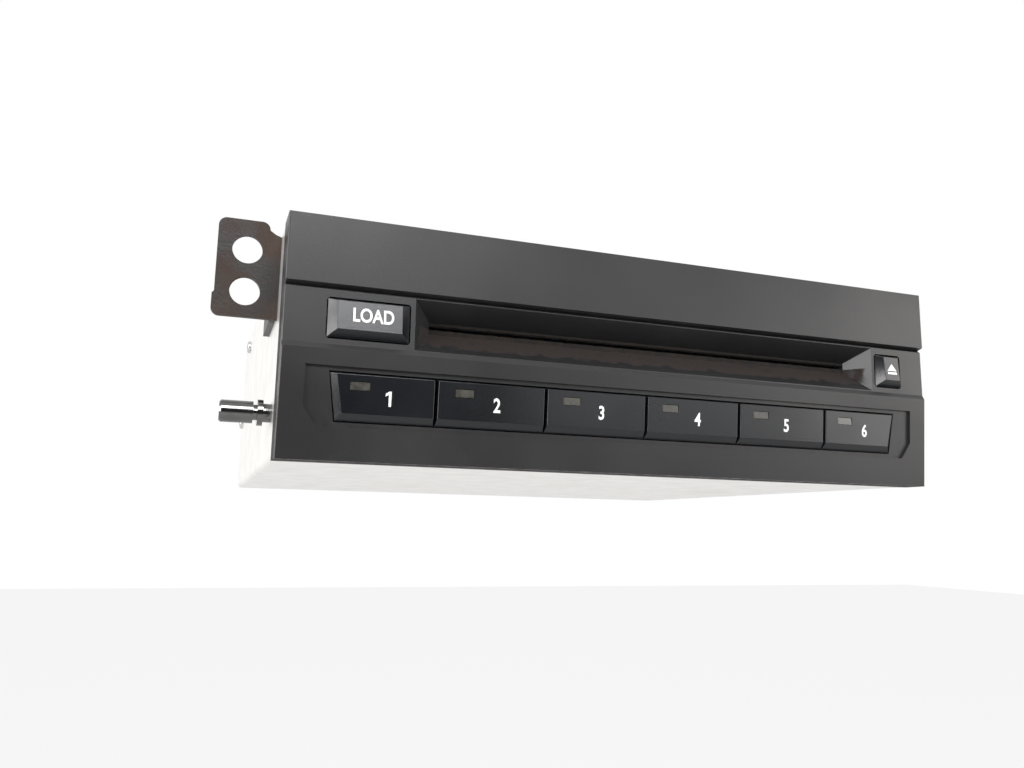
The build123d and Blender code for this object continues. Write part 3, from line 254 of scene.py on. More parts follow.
def scratch_group() -> bpy.types.NodeTree:
    """Thin drawn lines: stretched noise, as rolling and wiping leave on sheet metal.

    Returns:
        The group's tree, with the output Mask.
    """
    graph, into, out = new_group("drawn_lines", {"Scale": 60.0, "Stretch": 40.0}, ("Mask",))
    place = graph.node("ShaderNodeCombineXYZ")
    parts = graph.node("ShaderNodeSeparateXYZ")
    graph.feed(parts.inputs[0], into["Vector"])
    graph.feed(place.inputs[0], parts.outputs["X"])
    graph.feed(place.inputs[1], graph.math("MULTIPLY", parts.outputs["Y"], into["Stretch"]))
    graph.feed(place.inputs[2], graph.math("MULTIPLY", parts.outputs["Z"], into["Stretch"]))
    graph.feed(out["Mask"], graph.noise(place.outputs[0], into["Scale"], 5.0))
    return graph.tree


GROUPS: dict[str, bpy.types.NodeTree] = {}


def group_library() -> None:
    """Build each shared node group once."""
    for made in (grain_group(), smudge_group(), dust_group(), scratch_group()):
        GROUPS[made.name] = made


# ---------------------------------------------------------------- finishes
MATERIALS: dict[str, bpy.types.Material] = {}


class Finish:
    """A procedural material: a Principled shader whose sockets are drawn by ``draw``."""

    name: str

    def draw(self, graph: Graph, shader: bpy.types.Node, place: bpy.types.NodeSocket) -> None:
        """Link the shader's sockets; each finish has its own.

        Args:
            graph: the material's nodes.
            shader: its Principled shader.
            place: the Object coordinates.
        """
        raise NotImplementedError

    def group(self, graph: Graph, name: str, place: object, **values: float) -> bpy.types.NodeSocket:
        """Place a shared group with its own values.

        Args:
            graph: the material's nodes.
            name: the group's name.
            place: the Object coordinates.
            values: the group's other inputs.

        Returns:
            The group's first output.
        """
        made = graph.node("ShaderNodeGroup", node_tree=GROUPS[name])
        graph.feed(made.inputs["Vector"], place)
        for key, value in values.items():
            made.inputs[key].default_value = value
        return made.outputs[0]

    def bump(self, graph: Graph, shader: bpy.types.Node, height: object, depth: float) -> None:
        """Give the shader a bump.

        Args:
            graph: the material's nodes.
            shader: its Principled shader.
            height: the height, from 0 to about 1.
            depth: how deep that is, in metres.
        """
        made = graph.node("ShaderNodeBump")
        made.inputs["Distance"].default_value = depth
        graph.feed(made.inputs["Height"], height)
        graph.feed(shader.inputs["Normal"], made.outputs[0])

    def material(self) -> bpy.types.Material:
        """Make the finish's material on first use.

        Returns:
            The material, the same one each time.
        """
        if self.name in MATERIALS:
            return MATERIALS[self.name]
        made = bpy.data.materials.new(self.name)
        MATERIALS[self.name] = made
        made.use_nodes = True
        graph = Graph(made.node_tree)
        place = graph.node("ShaderNodeTexCoord").outputs["Object"]
        self.draw(graph, made.node_tree.nodes["Principled BSDF"], place)
        return made

    def dress(self, piece: bpy.types.Object) -> None:
        """Make this the piece's only material."""
        piece.data.materials.clear()
        piece.data.materials.append(self.material())


@dataclass(frozen=True)
class Moulding(Finish):
    """Satin moulded plastic with tool grain, faint handling marks and dust."""

    name: str
    colour: Colour
    dust: Colour = (0.30, 0.25, 0.20)
    roughness: float = 0.42
    smear: float = 0.10
    grain: float = 2500.0
    depth: float = 0.00001
    dusty: float = 0.25
    specular: float = 0.5

    def draw(self, graph: Graph, shader: bpy.types.Node, place: bpy.types.NodeSocket) -> None:
        """Grain in the height, smudges in the roughness, dust in the colour.

        Args:
            graph: the material's nodes.
            shader: its Principled shader.
            place: the Object coordinates.
        """
        height = self.group(graph, "mould_grain", place, Scale=self.grain)
        smudge = self.group(graph, "smudge", place, Scale=38.0, Low=0.35, High=0.75)
        dust = self.group(graph, "dust", place, Scale=1400.0, Amount=self.dusty)
        tone = graph.mix(smudge, toned(self.colour, 0.93), toned(self.colour, 1.07))
        graph.feed(shader.inputs["Base Color"], graph.mix(dust, tone, self.dust))
        rough = graph.math("MULTIPLY_ADD", smudge, self.smear, self.roughness)
        graph.feed(shader.inputs["Roughness"], graph.math("MULTIPLY_ADD", dust, 0.3, rough))
        shader.inputs["Specular IOR Level"].default_value = self.specular
        self.bump(graph, shader, height, self.depth)


@dataclass(frozen=True)
class FrontMoulding(Moulding):
    """Moulding with brown dust on its disc funnel's lower slope, darkened as painted shade. Places in
    millimetres.
    """

    # brown dust and painted shade together: darker than the plastic, for the shade deep in the slot
    silt_and_shade: Colour = (0.012, 0.006, 0.0035)
    silt_and_shade_front: float = -84.4
    silt_and_shade_back: float = -83.0
    silt_and_shade_top: float = 34.2
    silt_and_shade_ragged: float = 1.2

    def draw(self, graph: Graph, shader: bpy.types.Node, place: bpy.types.NodeSocket) -> None:
        """The moulding's own looks, then the clumped dust over them, darkened as painted shade.

        Args:
            graph: the material's nodes.
            shader: its Principled shader.
            place: the Object coordinates.
        """
        super().draw(graph, shader, place)
        parts = graph.node("ShaderNodeSeparateXYZ")
        graph.feed(parts.inputs[0], place)
        clumps = self.group(graph, "smudge", place, Scale=330.0, Low=0.25, High=0.62)
        ragged = graph.math("MULTIPLY_ADD", clumps, mm(self.silt_and_shade_ragged), parts.outputs["Y"])
        deep = graph.span(ragged, mm(self.silt_and_shade_front), mm(self.silt_and_shade_back))
        low = graph.math("LESS_THAN", parts.outputs["Z"], mm(self.silt_and_shade_top))
        # painted shade: the dusty throat is coloured darker than the plastic around it
        cover = graph.math("MULTIPLY", deep, graph.math("MULTIPLY_ADD", clumps, 0.6, 0.4))
        cover = graph.math("MULTIPLY", cover, low, clamp=True)
        clean = shader.inputs["Base Color"].links[0].from_socket
        graph.feed(shader.inputs["Base Color"], graph.mix(cover, clean, self.silt_and_shade))
        gloss = shader.inputs["Roughness"].links[0].from_socket
        graph.feed(shader.inputs["Roughness"], graph.math("MULTIPLY_ADD", cover, 0.5, gloss, clamp=True))


@dataclass(frozen=True)
class PlatedSheet(Finish):
    """Zinc-plated steel sheet: pale, softly drawn, with cloudy spangle and a few finger marks."""

    name: str
    colour: Colour = (0.90, 0.89, 0.86)
    stain: Colour = (0.74, 0.70, 0.62)
    roughness: float = 0.34

    def draw(self, graph: Graph, shader: bpy.types.Node, place: bpy.types.NodeSocket) -> None:
        """Spangle and drawn lines in tone and roughness.

        Args:
            graph: the material's nodes.
            shader: its Principled shader.
            place: the Object coordinates.
        """
        lines = self.group(graph, "drawn_lines", place, Scale=45.0, Stretch=30.0)
        spangle = self.group(graph, "smudge", place, Scale=120.0, Low=0.3, High=0.7)
        marks = self.group(graph, "smudge", place, Scale=22.0, Low=0.55, High=0.8)
        tone = graph.mix(spangle, self.colour, toned(self.colour, 0.9))
        worn = graph.math("MULTIPLY", marks, 0.45)
        graph.feed(shader.inputs["Base Color"], graph.mix(worn, tone, self.stain))
        rough = graph.math("MULTIPLY_ADD", lines, 0.14, self.roughness - 0.07)
        graph.feed(shader.inputs["Roughness"], graph.math("MULTIPLY_ADD", marks, 0.12, rough))
        shader.inputs["Metallic"].default_value = 0.85
        self.bump(graph, shader, graph.math("MULTIPLY_ADD", spangle, 0.3, lines), 0.000012)


@dataclass(frozen=True)
class DarkSteel(Finish):
    """Brown-black phosphated steel with rust bloom, rubbed dust and pits."""

    name: str
    colour: Colour = (0.012, 0.009, 0.0085)
    rust: Colour = (0.045, 0.024, 0.014)
    dust: Colour = (0.075, 0.067, 0.060)

    def draw(self, graph: Graph, shader: bpy.types.Node, place: bpy.types.NodeSocket) -> None:
        """Blotches of rust and pale dust over the dark coat.

        Args:
            graph: the material's nodes.
            shader: its Principled shader.
            place: the Object coordinates.
        """
        bloom = self.group(graph, "smudge", place, Scale=90.0, Low=0.46, High=0.68)
        film = self.group(graph, "smudge", place, Scale=150.0, Low=0.5, High=0.8)
        specks = self.group(graph, "dust", place, Scale=2200.0, Amount=1.0)
        tone = graph.mix(graph.math("MULTIPLY", bloom, 0.7), self.colour, self.rust)
        pale = graph.math("MULTIPLY_ADD", film, 0.5, graph.math("MULTIPLY", specks, 0.5), clamp=True)
        rubbed = graph.math("MULTIPLY", pale, 0.6)
        graph.feed(shader.inputs["Base Color"], graph.mix(rubbed, tone, self.dust))
        graph.feed(shader.inputs["Roughness"], graph.math("MULTIPLY_ADD", bloom, 0.25, 0.42))
        shader.inputs["Metallic"].default_value = 0.25
        self.bump(graph, shader, self.group(graph, "mould_grain", place, Scale=1600.0), 0.000025)


@dataclass(frozen=True)
class BrightMetal(Finish):
    """Turned or plated metal with fine lathe lines and light tarnish."""

    name: str
    colour: Colour
    roughness: float = 0.16
    tarnish: float = 0.3
    depth: float = 0.000004

    def draw(self, graph: Graph, shader: bpy.types.Node, place: bpy.types.NodeSocket) -> None:
        """Tarnish in tone and roughness, lines in the height.

        Args:
            graph: the material's nodes.
            shader: its Principled shader.
            place: the Object coordinates.
        """
        lines = self.group(graph, "drawn_lines", place, Scale=700.0, Stretch=6.0)
        film = self.group(graph, "smudge", place, Scale=260.0, Low=0.45, High=0.75)
        dull = graph.math("MULTIPLY", film, self.tarnish)
        graph.feed(shader.inputs["Base Color"], graph.mix(dull, self.colour, toned(self.colour, 0.45)))
        graph.feed(shader.inputs["Roughness"], graph.math("MULTIPLY_ADD", dull, 0.5, self.roughness))
        shader.inputs["Metallic"].default_value = 1.0
        self.bump(graph, shader, lines, self.depth)


@dataclass(frozen=True)
class Felt(Finish):
    """Pressed felt with brown dust in its pile, both darkened as painted shade for the deep slot."""

    name: str
    # felt and dust are toned down past their own colour as painted shade inside the slot
    colour: Colour = (0.004, 0.003, 0.002)
    dust: Colour = (0.012, 0.006, 0.003)

    def draw(self, graph: Graph, shader: bpy.types.Node, place: bpy.types.NodeSocket) -> None:
        """Fibres in the height and dust in clumps.

        Args:
            graph: the material's nodes.
            shader: its Principled shader.
            place: the Object coordinates.
        """
        fibres = self.group(graph, "drawn_lines", place, Scale=900.0, Stretch=2.5)
        clumps = self.group(graph, "smudge", place, Scale=420.0, Low=0.42, High=0.7)
        graph.feed(shader.inputs["Base Color"], graph.mix(clumps, self.colour, self.dust))
        shader.inputs["Roughness"].default_value = 0.95
        shader.inputs["Sheen Weight"].default_value = 0.05
        self.bump(graph, shader, fibres, 0.0002)


@dataclass(frozen=True)
class CircuitBoard(Finish):
    """Green solder resist with copper tracks showing through and dust."""

    name: str
    resist: Colour = (0.012, 0.085, 0.035)
    track: Colour = (0.03, 0.16, 0.06)
    dust: Colour = (0.30, 0.27, 0.22)

    def draw(self, graph: Graph, shader: bpy.types.Node, place: bpy.types.NodeSocket) -> None:
        """Tracks as a fine brick pattern, proud of the board.

        Args:
            graph: the material's nodes.
            shader: its Principled shader.
            place: the Object coordinates.
        """
        bricks = graph.node("ShaderNodeTexBrick", offset=0.37, squash=1.6)
        graph.feed(bricks.inputs["Vector"], place)
        bricks.inputs["Scale"].default_value = 240.0
        bricks.inputs["Mortar Size"].default_value = 0.05
        tracks = bricks.outputs["Fac"]
        dust = self.group(graph, "dust", place, Scale=900.0, Amount=0.35)
        tone = graph.mix(tracks, self.track, self.resist)
        graph.feed(shader.inputs["Base Color"], graph.mix(dust, tone, self.dust))
        graph.feed(shader.inputs["Roughness"], graph.math("MULTIPLY_ADD", dust, 0.4, 0.28))
        self.bump(graph, shader, graph.math("SUBTRACT", 1.0, tracks), 0.00003)


@dataclass(frozen=True)
class PrintedInk(Finish):
    """White pad-printed ink, very slightly worn."""

    name: str
    colour: Colour = (0.86, 0.86, 0.85)

    def draw(self, graph: Graph, shader: bpy.types.Node, place: bpy.types.NodeSocket) -> None:
        """Pinholes in the tone.

        Args:
            graph: the material's nodes.
            shader: its Principled shader.
            place: the Object coordinates.
        """
        wear = self.group(graph, "smudge", place, Scale=1500.0, Low=0.55, High=0.8)
        shade = graph.mix(graph.math("MULTIPLY", wear, 0.3), self.colour, toned(self.colour, 0.7))
        graph.feed(shader.inputs["Base Color"], shade)
        graph.feed(shader.inputs["Roughness"], graph.math("MULTIPLY_ADD", wear, 0.2, 0.5))
        self.bump(graph, shader, wear, 0.000003)


@dataclass(frozen=True)
class SmokedLens(Finish):
    """Smoked, finely ribbed light pipe behind a key window."""

    name: str
    colour: Colour = (0.034, 0.032, 0.025)

    def draw(self, graph: Graph, shader: bpy.types.Node, place: bpy.types.NodeSocket) -> None:
        """Fine ribs and a little haze.

        Args:
            graph: the material's nodes.
            shader: its Principled shader.
            place: the Object coordinates.
        """
        haze = self.group(graph, "smudge", place, Scale=500.0, Low=0.3, High=0.8)
        graph.feed(shader.inputs["Base Color"], graph.mix(haze, self.colour, toned(self.colour, 1.5)))
        graph.feed(shader.inputs["Roughness"], graph.math("MULTIPLY_ADD", haze, 0.2, 0.22))
        shader.inputs["Coat Weight"].default_value = 0.4
        self.bump(graph, shader, self.group(graph, "drawn_lines", place, Scale=900.0, Stretch=3.0), 0.00001)


BEZEL = FrontMoulding("front_moulding", colour=(0.013, 0.013, 0.014), roughness=0.36, dusty=0.04)
KEYCAP = Moulding("keycap_moulding", colour=(0.005, 0.006, 0.008), roughness=0.18, grain=3200.0, dusty=0.01)
BLACK = Moulding("black_plastic", colour=(0.022, 0.022, 0.024), roughness=0.48, dusty=0.3)
NYLON = Moulding("acetal", colour=(0.74, 0.73, 0.68), roughness=0.38, grain=1500.0, dusty=0.15)
SOCKET = Moulding("socket_nylon", colour=(0.66, 0.64, 0.56), roughness=0.45, grain=1200.0, dusty=0.35)
RUBBER = Moulding(
    "rubber", colour=(0.018, 0.018, 0.018), roughness=0.7, grain=1800.0, depth=0.00003, dusty=0.3)
FILM = Moulding("polyimide_film", colour=(0.42, 0.20, 0.04), roughness=0.25, grain=900.0, dusty=0.1)
EPOXY = Moulding("lamp_epoxy", colour=(0.50, 0.55, 0.42), roughness=0.2, grain=900.0, dusty=0.1)
SHEET = PlatedSheet("zinc_sheet")
EAR = DarkSteel("dark_steel")
CHROME = BrightMetal("dull_chrome", colour=(0.15, 0.15, 0.147), roughness=0.10)
STEEL = BrightMetal("bright_steel", colour=(0.62, 0.62, 0.61), roughness=0.24)
CAN = BrightMetal("motor_can", colour=(0.66, 0.66, 0.64), roughness=0.3)
BRASS = BrightMetal("brass", colour=(0.78, 0.56, 0.22), roughness=0.24)
SHADED_FELT = Felt("shaded_lip_felt")
BOARD = CircuitBoard("green_board")
INK = PrintedInk("legend_ink")
LENS = SmokedLens("smoked_lens")


# ---------------------------------------------------------------- modelling helpers
def new_piece(name: str, mesh: bmesh.types.BMesh, finish: Finish, body: str,
              smooth: float = 35.0) -> bpy.types.Object:
    """Turn a bmesh into a finished piece that rides on a body.

    Args:
        name: the piece's name.
        mesh: its shape, in metres and in place; it is freed here.
        finish: what it is made of.
        body: the body that it moves with.
        smooth: the angle in degrees above which an edge stays sharp.

    Returns:
        The new object.
    """
    bmesh.ops.recalc_face_normals(mesh, faces=mesh.faces[:])
    data = bpy.data.meshes.new(name)
    mesh.to_mesh(data)
    mesh.free()
    data.shade_smooth()
    data.set_sharp_from_angle(angle=math.radians(smooth))
    piece = bpy.data.objects.new(name, data)
    bpy.context.scene.collection.objects.link(piece)
    finish.dress(piece)
    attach(piece, body)
    log.info("%s: %d faces on %s", name, len(data.polygons), body)
    return piece


def turned(profile: list[tuple[float, float]], steps: int) -> bmesh.types.BMesh:
    """Spin a profile of (radius, height) in metres round +Z into a closed shape.

    Args:
        profile: points that start and end on the axis.
        steps: how many faces go round.

    Returns:
        A new bmesh.
    """
    mesh = bmesh.new()
    points = [mesh.verts.new((radius, 0.0, height)) for radius, height in profile]
    edges = [mesh.edges.new(pair) for pair in zip(points, points[1:])]
    bmesh.ops.spin(mesh, geom=points + edges, axis=(0, 0, 1), cent=(0, 0, 0), angle=math.tau, steps=steps,
                   use_merge=True)
    bmesh.ops.remove_doubles(mesh, verts=mesh.verts[:], dist=1e-6)
    return mesh


def join_into(target: bmesh.types.BMesh, source: bmesh.types.BMesh, place: Matrix) -> None:
    """Add one bmesh to another.

    Args:
        target: the mesh that grows.
        source: what is added to it; it is freed here.
        place: where it goes.
    """
    source.transform(place)
    data = bpy.data.meshes.new("part")
    source.to_mesh(data)
    source.free()
    target.from_mesh(data)
    bpy.data.meshes.remove(data)


# ---------------------------------------------------------------- front
class Lip(Enum):
    """The two dust lips, with the seeds of their ruffled edges."""

    LOWER = 7
    UPPER = 8


@dataclass
class Legend:
    """One printed word or digit, its middle and height in millimetres."""

    text: str
    key: str
    x: float
    z: float
    height: float


@dataclass
class FrontPanel:
    """The moulded front frame with its keys, windows, legends and dust lips. Sizes in millimetres."""

    key_count: int = 6
    digit_height: float = 3.6
    digit_z: float = 15.0
    digit_shift: float = 1.2
    word_x: float = -73.3
    word_z: float = 34.1
    word_height: float = 3.5
    eject_x: float = 80.9
    eject_z: float = 33.6
    eject_width: float = 3.3
    triangle_foot: float = -0.25
    triangle_tip: float = 1.9
    bar_bottom: float = -1.3
    bar_top: float = -0.65
    ink: float = 0.03
    narrow: float = 0.78
    bold: float = 0.022
    one: tuple[tuple[float, float], ...] = (
        (0.0, -0.5), (0.17, -0.5), (0.17, 0.5), (0.03, 0.5), (-0.22, 0.34), (-0.22, 0.17), (0.0, 0.28),
    )
    upper_lip_gap: float = 0.8
    lower_lip_gap: float = 0.25
    lip_step: float = 0.8
    lip_roughness: float = 0.16
    ray_start: float = -200.0

    def build(self) -> None:
        """Dress the mouldings, print the legends and lay the dust lips."""
        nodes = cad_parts
        BEZEL.dress(nodes["bezel"])
        presets = [f"preset_button_{i + 1}" for i in range(self.key_count)]
        for name in ["load_button", "eject_button"] + presets:
            KEYCAP.dress(nodes[name])
        LENS.dress(nodes["light_guides"])
        self.legends()
        self.eject_symbol()
        for lip in Lip:
            self.dust_lip(lip)

    def legends(self) -> None:
        """Print the digits and the word on the keys."""
        self.letter(Legend("LOAD", "load_button", self.word_x, self.word_z, self.word_height))
        for i in range(self.key_count):
            key = f"preset_button_{i + 1}"
            low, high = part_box(key)
            x = (low.x + high.x) / 2 * 1000 + self.digit_shift
            if i == 0:
                outline = [(px * self.digit_height, pz * self.digit_height) for px, pz in self.one]
                self.plate([outline], key, x, self.digit_z)
            else:
                self.letter(Legend(str(i + 1), key, x, self.digit_z, self.digit_height))

    def letter(self, legend: Legend) -> None:
        """Make one legend as a thin mesh that lies on its key's face.

        Args:
            legend: what is printed, and where.
        """
        curve = bpy.data.curves.new("letters", "FONT")
        curve.body = legend.text
        curve.align_x = "CENTER"
        curve.align_y = "CENTER"
        curve.offset = self.bold
        curve.extrude = 0.5
        shape = bpy.data.objects.new("letters", curve)
        data = bpy.data.meshes.new_from_object(shape)
        bpy.data.objects.remove(shape)
        tall = max(v.co.y for v in data.vertices) - min(v.co.y for v in data.vertices)
        mesh = bmesh.new()
        mesh.from_mesh(data)
        bpy.data.meshes.remove(data)
        bmesh.ops.remove_doubles(mesh, verts=mesh.verts[:], dist=1e-5)
        scale = mm(legend.height) / tall
        bmesh.ops.scale(mesh, vec=(scale * self.narrow, scale, mm(2 * self.ink)), verts=mesh.verts[:])
        self.lay_on_key(mesh, legend.key, legend.x, legend.z)
        new_piece("legend_" + legend.key, mesh, INK, legend.key)

    def lay_on_key(self, mesh: bmesh.types.BMesh, key: str, x: float, z: float) -> None:
        """Move a flat shape drawn about the origin onto a key's face, half sunk in it.

        Args:
            mesh: the shape, its face towards +Z.
            key: the node that it lies on.
            x: its middle's place across the front, in millimetres.
            z: its middle's height, in millimetres.
        """
        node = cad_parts[key]
        hit, place, normal, _ = node.ray_cast(mm(x, self.ray_start, z), Vector((0, 1, 0)))
        if not hit:
            raise ValueError(f"{key} has no face at {x}, {z}")
        up = (Vector((0, 0, 1)) - normal * normal.z).normalized()
        across = up.cross(normal)
        turn = Matrix((across, up, normal)).transposed().to_4x4()
        mesh.transform(Matrix.Translation(place) @ turn)

    def eject_symbol(self) -> None:
        """Print the triangle over a bar on the eject key."""
        half = self.eject_width / 2
        low, high = self.bar_bottom, self.bar_top
        triangle = [(-half, self.triangle_foot), (half, self.triangle_foot), (0.0, self.triangle_tip)]
        bar = [(-half, low), (half, low), (half, high), (-half, high)]
        self.plate([triangle, bar], "eject_button", self.eject_x, self.eject_z)

    def plate(self, outlines: list[list[tuple[float, float]]], key: str, x: float, z: float) -> None:
        """Print flat shapes drawn in millimetres about their middle on a key.

        Args:
            outlines: the corners of each shape, in order.
            key: the node that carries them.
            x: their middle's place across the front.
            z: their middle's height.
        """
        mesh = bmesh.new()
        for outline in outlines:
            face = mesh.faces.new([mesh.verts.new(mm(x, y, -self.ink)) for x, y in outline])
            raised = bmesh.ops.extrude_face_region(mesh, geom=[face])
            corners = [v for v in raised["geom"] if isinstance(v, bmesh.types.BMVert)]
            bmesh.ops.translate(mesh, vec=mm(0, 0, 2 * self.ink), verts=corners)
        self.lay_on_key(mesh, key, x, z)
        new_piece("legend_" + key, mesh, INK, key)

    def dust_lip(self, lip: Lip) -> None:
        """Lay one felt lip in the slot, its pile ruffled by discs.

        Args:
            lip: the one above the slot, or the one below it.
        """
        upper = lip is Lip.UPPER
        low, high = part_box("felt_lips")
        middle = (low.z + high.z) / 2
        inner = mm(self.upper_lip_gap) if upper else -mm(self.lower_lip_gap)
        bottom, top = (middle + inner, high.z) if upper else (low.z, middle + inner)
        mesh = bmesh.new()
        bmesh.ops.create_cube(mesh, size=1.0)
        bmesh.ops.scale(mesh, vec=(high.x - low.x, high.y - low.y, top - bottom), verts=mesh.verts[:])
        bmesh.ops.translate(mesh, vec=((low.x + high.x) / 2, (low.y + high.y) / 2, (bottom + top) / 2),
                            verts=mesh.verts[:])
        for i in range(1, int((high.x - low.x) / mm(self.lip_step))):
            cut = (low.x + mm(self.lip_step) * i, 0, 0)
            bmesh.ops.bisect_plane(mesh, geom=mesh.verts[:] + mesh.edges[:] + mesh.faces[:], plane_co=cut,
                                   plane_no=(1, 0, 0))
        draw = random.Random(lip.value)
        edge = bottom if upper else top
        for vert in sorted(mesh.verts, key=lambda v: (round(v.co.x, 6), v.co.y, v.co.z)):
            if abs(vert.co.z - edge) < mm(0.01):
                vert.co.z += draw.uniform(0, 1) * mm(self.lip_roughness) * (1 if upper else -1)
                vert.co.y += draw.uniform(-1, 1) * mm(self.lip_roughness) / 2
        piece = new_piece("felt_lip_" + lip.name.lower(), mesh, SHADED_FELT, "chassis")
        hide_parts("felt_lips")


# ---------------------------------------------------------------- casing
@dataclass
class Casing:
    """The sheet-steel case with its ears, pins, connectors and screws. Sizes in millimetres."""

    sheets: tuple[str, ...] = ("chassis_tray", "top_cover", "rear_panel", "front_plate")
    head_height: float = 1.2
    recess_half: float = 1.3
    recess_arm: float = 0.32
    recess_depth: float = 0.8
    head_steps: int = 24
    dome_step: int = 15
    rim_share: float = 0.45
    shank_share: float = 0.55

    def build(self) -> None:
        """Dress the sheets and fittings, and put pan heads on the screws."""
        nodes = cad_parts
        for name in self.sheets:
            SHEET.dress(nodes[name])
        for side in ("left", "right"):
            EAR.dress(nodes[f"ear_{side}"])
            CHROME.dress(nodes[f"pin_{side}"])
        SOCKET.dress(nodes["power_connector"])
        BLACK.dress(nodes["optical_connector"])
        self.screw_heads()

    def screw_heads(self) -> None:
        """Give every case screw a domed head with a cross recess, over its plain solid."""
        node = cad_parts["case_screws"]
        shape = bmesh.new()
        shape.from_mesh(node.data)
        bmesh.ops.remove_doubles(shape, verts=shape.verts[:], dist=1e-6)
        heads = bmesh.new()
        for low, high in self.islands(shape):
            side = 1 if low.x + high.x > 0 else -1
            place = Vector((high.x if side > 0 else low.x, (low.y + high.y) / 2, (low.z + high.z) / 2))
            self.screw(heads, place, side, high.x - low.x, (high.y - low.y) / 2)
        shape.free()
        piece = new_piece("case_screw_heads", heads, STEEL, "chassis", smooth=50.0)
        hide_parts("case_screws")

    def islands(self, shape: bmesh.types.BMesh) -> list[tuple[Vector, Vector]]:
        """The box of each separate solid in a mesh.

        Args:
            shape: the mesh, its doubles merged.

        Returns:
            The low and high corner of each, in order of their places.
        """
        left = set(shape.verts)
        boxes = []
        while left:
            group = [left.pop()]
            for vert in group:
                for edge in vert.link_edges:
                    other = edge.other_vert(vert)
                    if other in left:
                        left.remove(other)
                        group.append(other)
            low = Vector(min(v.co[i] for v in group) for i in range(3))
            high = Vector(max(v.co[i] for v in group) for i in range(3))
            boxes.append((low, high))
        return sorted(boxes, key=lambda box: tuple(round(c, 6) for c in box[0]))

    def screw(self, heads: bmesh.types.BMesh, place: Vector, side: int, length: float, radius: float) -> None:
        """Add one screw: shank, domed head and a cross cut into it.

        Args:
            heads: the mesh that it is added to.
            place: the middle of its outer face.
            side: 1 when it faces +X, -1 when it faces -X.
            length: its whole length.
            radius: its head's radius.
        """
        height = mm(self.head_height)
        shank = radius * self.shank_share
        angles = [math.radians(a) for a in range(self.dome_step, 91, self.dome_step)]
        rise = height * (1 - self.rim_share)
        dome = [(radius * math.sin(a), rise * (math.cos(a) - 1)) for a in angles]
        below = [(radius, -height), (shank, -height), (shank, -length), (0.0, -length)]
        mesh = turned([(0.0, dome[0][1])] + dome + below, self.head_steps)
        cross = bmesh.new()
        for turn in (0.0, math.pi / 2):
            arm = bmesh.new()
            bmesh.ops.create_cube(arm, size=1.0)
            bmesh.ops.scale(arm, vec=mm(2 * self.recess_half, 2 * self.recess_arm, 2 * self.recess_depth),
                            verts=arm.verts[:])
            join_into(cross, arm, Matrix.Rotation(turn, 4, "Z"))
        cut = self.carved(mesh, cross)
        across = Matrix.Rotation(side * math.pi / 2, 4, "Y")
        join_into(heads, cut, Matrix.Translation(place) @ across)

    def carved(self, mesh: bmesh.types.BMesh, tool: bmesh.types.BMesh) -> bmesh.types.BMesh:
        """Cut one bmesh out of another.

        Args:
            mesh: the shape that is cut; it is freed here.
            tool: what is taken out of it; it is freed here.

        Returns:
            The shape that is left.
        """
        bmesh.ops.recalc_face_normals(mesh, faces=mesh.faces[:])
        bmesh.ops.recalc_face_normals(tool, faces=tool.faces[:])
        pieces = []
        for part in (mesh, tool):
            data = bpy.data.meshes.new("part")
            part.to_mesh(data)
            part.free()
            piece = bpy.data.objects.new("part", data)
            bpy.context.scene.collection.objects.link(piece)
            pieces.append(piece)
        body, cutter = pieces
        carve = body.modifiers.new("carve", "BOOLEAN")
        carve.operation = "DIFFERENCE"
        carve.solver = "EXACT"
        carve.use_self = True
        carve.object = cutter
        bpy.context.view_layer.update()
        done = bmesh.new()
        done.from_object(body, bpy.context.evaluated_depsgraph_get())
        for piece in pieces:
            data = piece.data
            bpy.data.objects.remove(piece)
            bpy.data.meshes.remove(data)
        return done


# ---------------------------------------------------------------- inside
@dataclass
class Inside:
    """Everything behind the casing: electronics, drives, trays and playback deck."""

    finishes: dict[str, Finish] = field(default_factory=lambda: {
        "switch_board": BOARD, "main_board": BOARD, "tact_switches": BLACK, "status_leds": EPOXY,
        "board_posts": STEEL, "board_components": BLACK, "connector_pins": BRASS, "front_flex": FILM,
        "base_plate": SHEET, "base_dampers": RUBBER, "roller_bracket": SHEET, "roller_shaft": STEEL,
        "roller_sleeves": RUBBER, "roller_gear": NYLON, "idler_gear": NYLON, "load_pinion": BRASS,
        "drive_motors": CAN, "disc_guide": BLACK, "motor_pulley": NYLON, "lift_belt": RUBBER,
        "deck_frame": BLACK, "guide_rods": STEEL, "deck_motors": CAN, "turntable": BLACK,
        "pickup_sled": BLACK, "feed_screw": BRASS, "clamp_arm": SHEET, "pivot_post": STEEL,
        "swing_pinion": BRASS,
    })
    screws: tuple[str, ...] = ("lift_screw_a", "lift_screw_b", "lift_screw_c")
    tray_count: int = 6

    def build(self) -> None:
        """Dress every inner node."""
        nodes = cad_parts
        for name, finish in self.finishes.items():
            finish.dress(nodes[name])
        for name in self.screws:
            NYLON.dress(nodes[name])
        for i in range(self.tray_count):
            BLACK.dress(nodes[f"disc_tray_{i + 1}"])


# ---------------------------------------------------------------- studio
@dataclass
class Lamp:
    """One soft square lamp that looks at the front. Places and side in metres, power in watts."""

    name: str
    place: Point
    power: float
    colour: Colour
    target: Point = (0.0, -0.08, 0.03)
    side: float = 0.4

    def build(self) -> None:
        """Hang the lamp and turn it to its target."""
        data = bpy.data.lights.new(self.name, "AREA")
        data.shape = "SQUARE"
        data.size = self.side
        data.energy = self.power
        data.color = self.colour
        lamp = bpy.data.objects.new(self.name, data)
        bpy.context.scene.collection.objects.link(lamp)
        lamp.location = self.place
        lamp.rotation_euler = (Vector(self.target) - Vector(self.place)).to_track_quat("-Z", "Y").to_euler()


